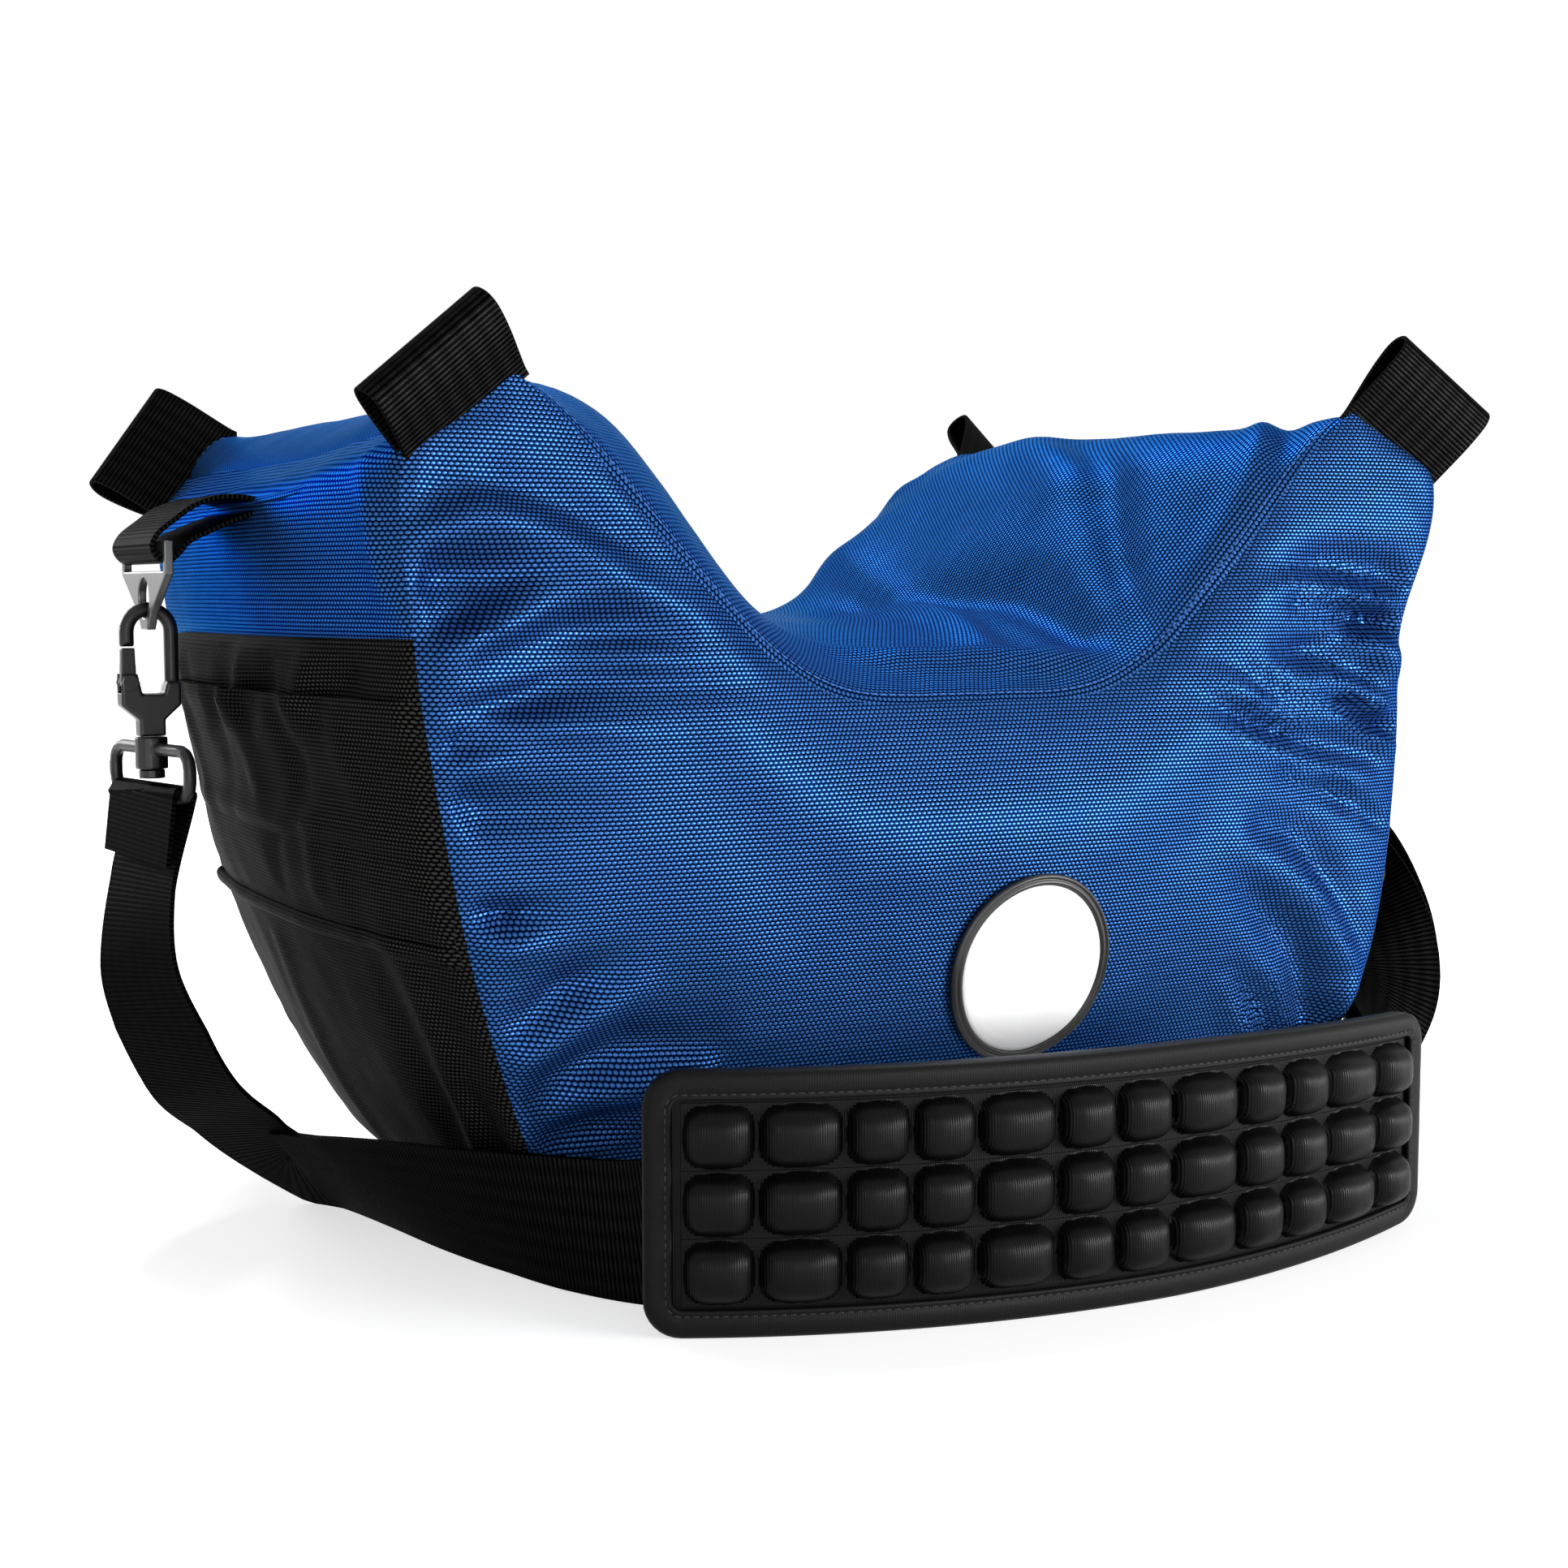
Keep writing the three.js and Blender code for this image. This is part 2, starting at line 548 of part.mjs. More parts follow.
function tabGeometry() {
  const foldR = RING_BAR / 2 + 2 * GAP + WEBBING_THICK;
  const bar = V(0, 0, (BAR_LOW + BAR_HIGH) / 2);
  const root = V(TAB_ROOT_X, 0, TAB_ROOT_Z);
  const direction = bar.clone().sub(root);
  const length = direction.length() + foldR;
  direction.normalize();
  return foldedWebbing(length, foldR, direction, V(0, 1, 0), root);
}

// The hook lies in the plane y = 0. Its nose is on the outer side, +x, and its spine on the inner side.
const BOW_CENTRE_Z = EYE_Z - EYE_R + 0.7 - HOOK_INNER_R;
const HOOK_OUTER_R = HOOK_INNER_R + HOOK_BOW;
const standUp = new THREE.Matrix4().makeBasis(V(1, 0, 0), V(0, 0, 1), V(0, -1, 0)); // (x, y) drawn -> (x, z)
const fromOutline = (points, low, high, chamfer = 0) => {
  return slab(shapeOf(points), low, high, chamfer).applyMatrix4(standUp);
};
const arcPoints = (r, from, to, steps) => Array.from({ length: steps + 1 }, (_, k) => {
  const angle = from + ((to - from) * k) / steps;
  return [r * Math.cos(angle), BOW_CENTRE_Z + r * Math.sin(angle)];
});
const RIVET_X = (HOOK_INNER_R + HOOK_OUTER_R) / 2;

function hookGeometry() {
  const bow = fromOutline([
    [HOOK_OUTER_R, NOSE_TIP_Z],
    ...arcPoints(HOOK_OUTER_R, 0, Math.PI, 12),
    [-HOOK_OUTER_R, HOOK_BASE_BOTTOM + 4],
    [-HOOK_INNER_R, HOOK_BASE_BOTTOM + 4],
    ...arcPoints(HOOK_INNER_R, Math.PI, 0, 10),
    [HOOK_INNER_R, NOSE_TIP_Z],
  ], -HOOK_THICK / 2, HOOK_THICK / 2, HOOK_CHAMFER);
  const base = fromOutline([
    [-HOOK_OUTER_R, HOOK_BASE_TOP - 4],
    [-HOOK_OUTER_R, HOOK_BASE_BOTTOM + 5],
    [-POST_R - 1.5, HOOK_BASE_BOTTOM],
    [-POST_R - 1.5, COLLAR_TOP + GAP],
    [POST_R + 1.5, COLLAR_TOP + GAP],
    [POST_R + 1.5, HOOK_BASE_BOTTOM],
    [HOOK_OUTER_R + 0.5, HOOK_BASE_BOTTOM + 5],
    [HOOK_OUTER_R + 0.5, HOOK_BASE_TOP - 1],
    [HOOK_INNER_R - 0.5, HOOK_BASE_TOP - 1],
    [HOOK_INNER_R - 2, HOOK_BASE_TOP - 8],
    [-HOOK_INNER_R + 1, HOOK_BASE_TOP - 8],
    [-HOOK_INNER_R, HOOK_BASE_TOP - 4],
  ], -HOOK_BASE_THICK / 2, HOOK_BASE_THICK / 2, 0.6);
  const fork = fromOutline([
    [HOOK_INNER_R - 4.5, RIVET_Z - 3.6],
    [HOOK_OUTER_R + 2, RIVET_Z - 3.6],
    [HOOK_OUTER_R + 2, HOOK_BASE_TOP + 2],
    [HOOK_INNER_R - 4.5, HOOK_BASE_TOP + 2],
  ], -FORK_HALF, FORK_HALF);
  const rivetHole = pinGeometry(RIVET_R + GAP / 2, HOOK_BASE_THICK + 2);
  return cut(join(bow, base), fork, rivetHole);
}

function pinGeometry(r, length) {
  const pin = new THREE.CylinderGeometry(r, r, length, 12);
  return pin.translate(RIVET_X, 0, RIVET_Z);
}

function gateGeometry() {
  const half = GATE_WIDTH / 2;
  const round = Array.from({ length: 7 }, (_, k) => {
    const angle = Math.PI + (Math.PI * k) / 6;
    return [RIVET_X + (half + 0.4) * Math.cos(angle), RIVET_Z + (half + 0.4) * Math.sin(angle)];
  });
  const tip = NOSE_TIP_Z - GAP - 0.2;
  const gate = fromOutline([...round, [RIVET_X + half, tip], [RIVET_X - half, tip]], GATE_LOW, GATE_HIGH);
  return cut(gate, pinGeometry(RIVET_R + GAP / 2, HOOK_BASE_THICK));
}

function rivetGeometry() {
  const head = HOOK_BASE_THICK / 2 + GAP;
  const low = [[0, -head - 1], [RIVET_HEAD_R, -head - 1], [RIVET_HEAD_R, -head], [RIVET_R, -head]];
  const high = low.map(([r, y]) => [r, -y]).reverse();
  const lathe = new THREE.LatheGeometry([...low, ...high].map(([r, y]) => new THREE.Vector2(r, y)), 12);
  return solidLathe(lathe).translate(RIVET_X, 0, RIVET_Z);
}
function solidLathe(lathe) {
  lathe.deleteAttribute('normal');
  lathe.deleteAttribute('uv');
  const merged = mergeVertices(lathe, 1e-4);
  const index = [];
  const old = merged.index.array;
  for (let i = 0; i < old.length; i += 3) {
    const [a, b, c] = [old[i], old[i + 1], old[i + 2]];
    if (a !== b && b !== c && a !== c) index.push(a, b, c);
  }
  merged.setIndex(index);
  return outward(merged);
}
function springGeometry() {
  const [inner, outer] = [RIVET_R + GAP, RIVET_R + 1.3];
  const [low, high] = [-FORK_HALF + GAP, -GATE_HIGH - GAP];
  const profile = [[inner, low], [outer, low], [outer, high], [inner, high], [inner, low]];
  const lathe = new THREE.LatheGeometry(profile.map(([r, y]) => new THREE.Vector2(r, y)), 12);
  return solidLathe(lathe).translate(RIVET_X, 0, RIVET_Z);
}

const COLLAR_LOW = COLLAR_TOP - COLLAR_HEIGHT;
function postGeometry() {
  const head = COLLAR_LOW - GAP;
  const headR = POST_R + POST_LIP;
  const foot = head - POST_HEAD;
  const headProfile = [[0, foot], [headR, foot], [headR, head]];
  const profile = [...headProfile, [POST_R, head], [POST_R, COLLAR_TOP], [0, COLLAR_TOP]];
  const lathe = new THREE.LatheGeometry(profile.map(([r, y]) => new THREE.Vector2(r, y)), 14);
  return solidLathe(lathe).rotateX(Math.PI / 2);
}
function loopGeometry() {
  const half = WEBBING / 2 + LOOP_WIRE_R + 0.8;
  const corner = LOOP_CORNER;
  const path = [];
  const arc = (cx, cz, from) => {
    for (let k = 0; k <= 3; k++) {
      const angle = from + (Math.PI / 2) * (k / 3);
      path.push([cx + corner * Math.cos(angle), cz + corner * Math.sin(angle)]);
    }
  };
  arc(half - corner, LOOP_BAR_Z + corner, -Math.PI / 2);
  arc(half - corner, LOOP_TOP_Z - corner, 0);
  arc(-half + corner, LOOP_TOP_Z - corner, Math.PI / 2);
  arc(-half + corner, LOOP_BAR_Z + corner, Math.PI);
  const rings = path.map(([y, z], i) => {
    const before = path[(i + path.length - 1) % path.length];
    const after = path[(i + 1) % path.length];
    const tangent = new THREE.Vector2(after[0] - before[0], after[1] - before[1]).normalize();
    const normal = new THREE.Vector2(tangent.y, -tangent.x);
    return Array.from({ length: 8 }, (_, k) => {
      const angle = (2 * Math.PI * (k + 0.5)) / 8;
      const [u, v] = [LOOP_WIRE_R * Math.cos(angle), LOOP_WIRE_R * Math.sin(angle)];
      return V(v, y + normal.x * u, z + normal.y * u);
    });
  });
  const collar = new THREE.CylinderGeometry(COLLAR_R, COLLAR_R, COLLAR_HEIGHT, 14);
  collar.rotateX(Math.PI / 2).translate(0, 0, (COLLAR_TOP + COLLAR_LOW) / 2);
  const bore = new THREE.CylinderGeometry(POST_R + GAP, POST_R + GAP, COLLAR_HEIGHT * 2, 14);
  bore.rotateX(Math.PI / 2).translate(0, 0, (COLLAR_TOP + COLLAR_LOW) / 2);
  return cut(join(closedLoft(rings), collar), bore);
}

for (const [name, turn, yaw] of [['left', Math.PI, LOOP_YAW], ['right', 0, 0]]) {
  const end = new THREE.Group();
  end.rotation.z = turn;
  bag.add(end);
  const hung = new THREE.Group();
  hung.position.x = RING_X;
  end.add(hung);
  add(`${name}_anchor_ring`, ringGeometry(), PLATE, hung);
  add(`${name}_anchor_tab`, tabGeometry(), WEB, hung);
  add(`${name}_hook_body`, hookGeometry(), STEEL, hung);
  add(`${name}_hook_gate`, gateGeometry(), STEEL, hung);
  add(`${name}_gate_rivet`, rivetGeometry(), STEEL, hung);
  add(`${name}_gate_spring`, springGeometry(), STEEL, hung);
  add(`${name}_swivel_post`, postGeometry(), STEEL, hung);
  const loop = add(`${name}_swivel_loop`, loopGeometry(), STEEL, hung);
  loop.rotation.z = yaw;
}

// ---------------------------------------------------------------- shoulder strap
const deg = THREE.MathUtils.degToRad;
const arcPoint = (r, angle, z) => {
  return V(PAD_CENTRE.x + r * Math.sin(deg(angle)), PAD_CENTRE.y - r * Math.cos(deg(angle)), z);
};
// Each station is the middle of the webbing and the way its width points, from lower to upper edge.
const fromEdges = (low, high) => {
  return { at: low.clone().add(high).multiplyScalar(0.5), across: high.clone().sub(low).normalize() };
};
const strapHalf = WEBBING / 2 - 1;
const barWrapR = LOOP_WIRE_R + GAP + WEBBING_THICK / 2 + 0.2;

function wrapStations(x, yaw, from, to, steps) {
  // round the loop's lower bar, seen along the bar, from one angle to another
  const bar = V(x, 0, LOOP_BAR_Z);
  const across = V(Math.sin(yaw), -Math.cos(yaw), 0);
  const sideways = V(Math.cos(yaw), Math.sin(yaw), 0);
  return Array.from({ length: steps + 1 }, (_, k) => {
    const angle = from + ((to - from) * k) / steps;
    const at = bar.clone().addScaledVector(sideways, barWrapR * Math.cos(angle));
    at.z += barWrapR * Math.sin(angle);
    return { at, across };
  });
}

const leftBarX = -RING_X;
const leftAcross = V(Math.sin(LOOP_YAW), -Math.cos(LOOP_YAW), 0);
const leftEnd = [{ at: V(leftBarX - barWrapR - 2.4, 0, LOOP_BAR_Z - 22), across: leftAcross }];
const leftWrap = wrapStations(leftBarX, LOOP_YAW, Math.PI, 0, 6);
const leftFall = [
  fromEdges(V(-266, 24, 128), V(-257, -24, 129)),
  fromEdges(V(-271, 21, 96), V(-257, -26, 104)),
  fromEdges(V(-266, 20, 73), V(-248, -26, 82)),
  fromEdges(V(-251, 25, 47), V(-237, -20, 61)),
  fromEdges(V(-229, 33, 27), V(-223, -10, 45)),
  fromEdges(V(-207, 34, 8), V(-210, -6, 34)),
  fromEdges(V(-187, 8, 0.6), V(-218, 0, 34)),
  fromEdges(V(-181, -22, 0.6), V(-209, -28, 37)),
  fromEdges(V(-175, -56, 0.6), V(-197, -62, 42)),
  fromEdges(V(-166, -92, 0.6), V(-181, -99, 46)),
  fromEdges(V(-157, -120, 0.6), V(-165, -125, 47.6)),
  fromEdges(V(-143, -149, 1.5), V(-146, -151, 49.3)),
];
const arcStation = (r, angle, low) => ({ at: arcPoint(r, angle, low + strapHalf), across: V(0, 0, 1) });
const behindPad = [
  arcStation(STRAP_R - 1, -28, 7.5),
  ...[-25, -20, -15, -10, -5, 0, 5, 10, 15, 17.5, 19.5].map((angle) => arcStation(STRAP_R, angle, STRAP_LOW)),
];
// At the right end the strap makes half a turn, so that its lower edge comes up in front of the bar.
const rightBarX = RING_X;
const rightRise = [
  fromEdges(V(172, -166, 12), V(168, -163, 60)),
  fromEdges(V(199, -139, 15), V(191, -131, 62)),
  fromEdges(V(rightBarX - 30, -119, 21), V(rightBarX - 43, -105, 65)),
  fromEdges(V(rightBarX - 5, -107, 31), V(rightBarX - 22, -82, 69)),
  fromEdges(V(rightBarX + 9, -101, 50), V(rightBarX - 6, -64, 77)),
  fromEdges(V(rightBarX + 13, -88, 76), V(rightBarX + 4, -45, 96)),
  fromEdges(V(rightBarX + 12, -68, 104), V(rightBarX + 8, -22, 115)),
  fromEdges(V(rightBarX + 6, -41, 129), V(rightBarX + 5, 7, 131)),
  fromEdges(V(rightBarX - 1, -25, 146), V(rightBarX - 1, 23, 146)),
];
const rightWrap = wrapStations(rightBarX, Math.PI, 0, Math.PI, 6);

// A length of webbing through stations, smoothed, with its thickness to one side of them.
function webbingGeometry(stations, perStation, half, thick) {
  const path = new THREE.CatmullRomCurve3(stations.map((s) => s.at), false, 'centripetal');
  const count = (stations.length - 1) * perStation;
  const frames = Array.from({ length: count + 1 }, (_, k) => {
    const t = k / count;
    const i = Math.min(Math.floor(t * (stations.length - 1)), stations.length - 2);
    const mix = t * (stations.length - 1) - i;
    const at = path.getPoint(t);
    const tangent = path.getTangent(t);
    const across = stations[i].across.clone().lerp(stations[i + 1].across, mix);
    across.addScaledVector(tangent, -across.dot(tangent)).normalize();
    const normal = new THREE.Vector3().crossVectors(tangent, across).normalize();
    const lowest = at.z - half * Math.abs(across.z) - (thick / 2) * Math.abs(normal.z);
    at.z += Math.max(0, GAP - lowest); // the webbing lies on the ground and doesn't sink in
    return { at, across, normal };
  });
  const layer = (side) => (k, v) => {
    const { at, across, normal } = frames[k];
    return at.clone().addScaledVector(across, v * half).addScaledVector(normal, (side * thick) / 2);
  };
  return sheet(frames.map((_, k) => k), [-1, 1], layer(1), layer(-1));
}
const rightEnd = rightWrap.slice(0, 6);
const strapStations = [...leftEnd, ...leftWrap, ...leftFall, ...behindPad, ...rightRise, ...rightEnd];
add('strap_webbing', webbingGeometry(strapStations, 2, strapHalf, WEBBING_THICK), WEB);

const TAIL_SPREADS_FROM = 0; // the rise's station above which the layers part towards the bar

// The tail comes off the right bar and lies along the strap's back, which faces the bag's front.
const inside = (station, distance, direction) => {
  return { at: station.at.clone().addScaledVector(direction, distance), across: station.across };
};
const tailArc = [12, 15, 17.5, 19.5].map((angle) => arcStation(STRAP_R - LAYER, angle, STRAP_LOW));
const tailRise = rightRise.map((station, i) => {
  const next = i + 1 < rightRise.length ? rightRise[i + 1].at : V(rightBarX, 0, LOOP_BAR_Z);
  const forward = next.clone().sub(station.at).normalize();
  const inwards = new THREE.Vector3().crossVectors(forward, station.across).normalize();
  return inside(station, LAYER + Math.max(0, i - TAIL_SPREADS_FROM) * 0.7, inwards.negate());
});
const tailTop = { at: V(rightBarX + barWrapR, 0, LOOP_BAR_Z - 3), across: V(0, 1, 0) };
const tailStations = [arcStation(STRAP_R - LAYER, TAIL_FROM, STRAP_LOW), ...tailArc, ...tailRise, tailTop];
add('strap_tail', webbingGeometry(tailStations, 2, strapHalf, WEBBING_THICK), WEB);

// Slide that holds the two layers together, behind the pad: a frame with a bar between the layers.
const SLIDE_WALL = 1.6;
const SLIDE_BAR = 1.4;
const SLIDE_SLOT_HALF = (LAYER - SLIDE_BAR) / 2;
const SLIDE_HALF = LAYER / 2 + SLIDE_SLOT_HALF + SLIDE_WALL;
function slideGeometry() {
  const [slotHalf, halfRun, angle] = [WEBBING / 2 + 2 * GAP, 7, SLIDE_AT];
  const box = (x, halfX, halfY, halfZ) => {
    return new THREE.BoxGeometry(2 * halfX, 2 * halfY, 2 * halfZ).translate(x, 0, 0);
  };
  const body = box(0, SLIDE_HALF, slotHalf + SLIDE_WALL, halfRun);
  const slots = [-LAYER / 2, LAYER / 2].map((x) => box(x, SLIDE_SLOT_HALF, slotHalf, halfRun + 1));
  const radial = V(Math.sin(deg(angle)), -Math.cos(deg(angle)), 0);
  const tangent = V(Math.cos(deg(angle)), Math.sin(deg(angle)), 0);
  const centre = arcPoint(STRAP_R - LAYER / 2, angle, STRAP_LOW + strapHalf);
  const place = new THREE.Matrix4().makeBasis(radial, V(0, 0, 1), tangent.negate()).setPosition(centre);
  return cut(body, ...slots).applyMatrix4(place);
}
add('strap_slide', slideGeometry(), STEEL);

// ---------------------------------------------------------------- shoulder pad
const PAD_BACK = STRAP_R - LAYER / 2 + SLIDE_HALF + 2 * GAP; // clear of the slide
const PAD_FRONT = PAD_BACK + PAD_BASE_THICK;
const PAD_MEAN_R = (PAD_BACK + PAD_FRONT) / 2;
const padLength = deg(PAD_TO - PAD_FROM) * PAD_MEAN_R;
const padMid = (PAD_TO + PAD_FROM) / 2;
// A point of the pad from its flat pattern: s along it, z up, r from the arc's centre.
const onPad = (s, z, r) => arcPoint(r, padMid + THREE.MathUtils.radToDeg(s / PAD_MEAN_R), z);

function padOutline(inset, straight = 16, round = 3) {
  const [half, low, high] = [padLength / 2 - inset, inset, PAD_HEIGHT - inset];
  const corner = PAD_CORNER - inset;
  const points = [];
  const step = (2 * half - 2 * corner) / straight;
  for (let k = 0; k < straight; k++) points.push([-half + corner + step * k, low]);
  const arc = (cx, cz, from) => {
    for (let k = 0; k <= round; k++) {
      const angle = from + (Math.PI / 2) * (k / round);
      points.push([cx + corner * Math.cos(angle), cz + corner * Math.sin(angle)]);
    }
  };
  arc(half - corner, low + corner, -Math.PI / 2);
  arc(half - corner, high - corner, 0);
  for (let k = 1; k < straight; k++) points.push([half - corner - step * k, high]);
  arc(-half + corner, high - corner, Math.PI / 2);
  arc(-half + corner, low + corner, Math.PI);
  return points.slice(0, points.length - 1);
}

function padBaseGeometry() {
  // a bowed plate with round corners: rows across the arc, each as high as the outline allows
  const inset = BINDING_THICK + GAP;
  const half = padLength / 2 - inset;
  const corner = PAD_CORNER - inset;
  const drop = (s) => {
    const over = Math.abs(s) - (half - corner);
    return over <= 0 ? 0 : corner - Math.sqrt(Math.max(0, corner * corner - over * over));
  };
  const stops = [0, 0.12, 0.4, 1].map((k) => half - corner * (1 - k));
  const straight = Array.from({ length: PAD_COLUMNS - 1 }, (_, k) => {
    return (half - corner) * ((2 * (k + 1)) / PAD_COLUMNS - 1);
  });
  const across = [...stops.slice().reverse().map((s) => -s), ...straight, ...stops];
  const layer = (r) => (s, v) => {
    const reach = PAD_HEIGHT / 2 - inset - drop(s) * 0.98;
    return onPad(s, PAD_HEIGHT / 2 + v * reach, r);
  };
  return sheet(across, [-1, 1], layer(PAD_FRONT), layer(PAD_BACK));
}
add('pad_base', padBaseGeometry(), BLACK);

// Edge tape: a wall round the rim with a lip over the face.
function bindingGeometry() {
  const rims = [0, BINDING_THICK, BINDING].map((inset) => padOutline(inset));
  const [wallLow, faceLow, faceHigh] = [PAD_BACK, PAD_FRONT + GAP, PAD_FRONT + GAP + BINDING_THICK];
  const rings = rims[0].map((_, i) => [
    onPad(...rims[0][i], wallLow),
    onPad(...rims[0][i], faceHigh),
    onPad(...rims[2][i], faceHigh),
    onPad(...rims[2][i], faceLow),
    onPad(...rims[1][i], faceLow),
    onPad(...rims[1][i], wallLow),
  ]);
  return closedLoft(rings);
}
add('pad_binding', bindingGeometry(), BLACK);

// Three rows of pillow cells, each row one sewn strip.
function cellRowGeometry(row) {
  const field = { from: -padLength / 2 + BINDING + 3, to: padLength / 2 - BINDING - 3 };
  const total = CELL_WIDTHS.reduce((a, b) => a + b, 0);
  const scale = (field.to - field.from) / total;
  const rowHeight = (PAD_HEIGHT - 2 * BINDING - 2) / CELL_ROWS;
  const low = BINDING + 1 + row * rowHeight + GAP / 2;
  const stops = [];
  let s = field.from;
  for (const width of CELL_WIDTHS) {
    const w = width * scale;
    stops.push([s, 0], [s + w * 0.16, 1], [s + w * 0.84, 1]);
    s += w;
  }
  stops.push([s, 0]);
  const heights = [[0, 0], [0.18, 1], [0.82, 1], [1, 0]];
  const groove = 0.6;
  const top = (i, j) => {
    const [at, up] = stops[i];
    const [share, across] = heights[j];
    const r = PAD_FRONT + GAP + groove + (up && across ? CELL_RISE : 0);
    return onPad(at, low + share * (rowHeight - GAP), r);
  };
  const bottom = (i, j) => onPad(stops[i][0], low + heights[j][0] * (rowHeight - GAP), PAD_FRONT + GAP);
  return sheet(stops.map((_, i) => i), heights.map((_, j) => j), top, bottom);
}
for (let row = 0; row < CELL_ROWS; row++) add(`pad_cell_row_${row + 1}`, cellRowGeometry(row), BLACK);

// Channel on the back of the pad that the webbing runs through.
function sleeveGeometry() {
  const inner = STRAP_R - WEBBING_THICK / 2 - GAP - 0.25;
  const low = STRAP_LOW - 3;
  const high = STRAP_LOW + 2 * strapHalf + 3;
  const wall = SLEEVE_WALL;
  const seat = PAD_BACK - GAP;
  const profile = [[seat, low - 3], [inner, low], [inner, high], [seat, high + 3]];
  const outer = [[seat, low - 4.5], [inner - wall, low - 1], [inner - wall, high + 1], [seat, high + 4.5]];
  const angles = Array.from({ length: 17 }, (_, k) => SLEEVE_FROM + ((SLEEVE_TO - SLEEVE_FROM) * k) / 16);
  const along = (line) => (angle, j) => arcPoint(line[j][0], angle, line[j][1]);
  return sheet(angles, [0, 1, 2, 3], along(outer), along(profile));
}
add('pad_sleeve', sleeveGeometry(), BLACK);

// ---------------------------------------------------------------- round patch on the front
const onFront = (side, x, z, out) => {
  const a = x / halfLength(z);
  const c = (z - BASE_SEAM_Z) / (topHeight(a) - BASE_SEAM_Z);
  return V(x, side * (halfDepth(z) + frontBulge(a, c) + out), z);
};
function patchPoint(r, angle, out) {
  return onFront(-1, PATCH.x + r * Math.cos(angle), PATCH.z + r * Math.sin(angle), SKIN + 0.2 + out);
}
const PATCH_STEPS = 28;
const around = Array.from({ length: PATCH_STEPS }, (_, k) => (2 * Math.PI * k) / PATCH_STEPS);
add('patch_rim', closedLoft(around.map((angle) => [
  patchPoint(PATCH.rimOuter, angle, 0),
  patchPoint(PATCH.rimOuter, angle, PATCH.rimThick * 0.7),
  patchPoint((PATCH.rimOuter + PATCH.rimInner) / 2, angle, PATCH.rimThick),
  patchPoint(PATCH.rimInner, angle, PATCH.rimThick * 0.7),
  patchPoint(PATCH.rimInner, angle, 0),
])), BLACK);
function discGeometry() {
  const r = PATCH.rimInner - GAP;
  const points = [patchPoint(0, 0, PATCH.discThick), patchPoint(0, 0, 0)];
  for (const angle of around) points.push(patchPoint(r, angle, PATCH.discThick), patchPoint(r, angle, 0));
  const triangles = [];
  around.forEach((_, k) => {
    const [a, b] = [2 + 2 * k, 2 + 2 * ((k + 1) % PATCH_STEPS)];
    triangles.push([0, a, b], [1, b + 1, a + 1], [a, a + 1, b + 1], [a, b + 1, b]);
  });
  return outward(geometryFrom(points, triangles));
}
add('patch_disc', discGeometry(), WHITE);

// ---------------------------------------------------------------- filling zip low on the back
const zipSteps = [-1, -0.67, -0.33, 0, 0.33, 0.67, 1];
const zipFace = onFront(1, 0, ZIP.z + ZIP.height / 2, 2.6).y;
const zipOuter = (u, v) => V(u * ZIP.half, zipFace, ZIP.z + (v * ZIP.height) / 2);
const zipInner = (u, v) => onFront(1, u * ZIP.half, ZIP.z + (v * ZIP.height) / 2, SKIN);
add('fill_zip', sheet(zipSteps, [-1, 0, 1], zipOuter, zipInner), BLACK);
const slider = new THREE.BoxGeometry(ZIP.slider, 3, 9);
add('fill_zip_slider', slider.translate(-ZIP.half + ZIP.slider, zipFace + GAP + 1.5, ZIP.z), STEEL);

export default bag;
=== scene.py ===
"""Camera bean bag: a saddle of nylon full of beans, with webbing loops, end pockets and a shoulder strap."""

import math

import bmesh
import bpy
import numpy as np
from mathutils import Matrix, Vector, noise


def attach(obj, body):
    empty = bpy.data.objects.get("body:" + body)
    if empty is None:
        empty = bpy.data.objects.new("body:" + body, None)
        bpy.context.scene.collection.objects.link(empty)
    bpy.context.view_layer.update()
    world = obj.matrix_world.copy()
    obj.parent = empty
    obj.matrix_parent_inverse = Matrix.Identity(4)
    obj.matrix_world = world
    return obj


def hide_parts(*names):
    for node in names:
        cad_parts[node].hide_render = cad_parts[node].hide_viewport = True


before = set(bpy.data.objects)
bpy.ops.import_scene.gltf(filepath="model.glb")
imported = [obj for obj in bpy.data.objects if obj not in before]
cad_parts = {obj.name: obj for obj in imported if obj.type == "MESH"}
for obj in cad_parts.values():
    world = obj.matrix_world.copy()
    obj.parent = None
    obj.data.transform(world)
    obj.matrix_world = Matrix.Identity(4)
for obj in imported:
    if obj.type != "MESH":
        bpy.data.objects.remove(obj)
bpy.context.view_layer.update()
MM = 0.001

# ---------------------------------------------------------------- camera, floor and light
# The bag stands on a plain white table. The camera looks at its front from the left, from a little above
# the table, with a normal lens. Four softboxes light it, the strongest low at the right, and a pale room.
camera = bpy.data.objects.new("camera", bpy.data.cameras.new("camera"))
bpy.context.collection.objects.link(camera)
camera.location = (-0.4566, -0.7572, 0.2296)
CAMERA_DOWN = math.radians(5.02)
CAMERA_TURN = math.radians(31.03)
camera.rotation_euler = (math.pi / 2 - CAMERA_DOWN, 0, -CAMERA_TURN)
camera.data.sensor_width = 36
camera.data.lens = 49.9
camera.data.clip_start = 0.01
bpy.context.scene.camera = camera
bpy.context.scene.view_settings.view_transform = "Standard"


def dial(sockets, values):
    """Sets sockets by their names."""
    for name, value in values.items():
        sockets[name].default_value = value


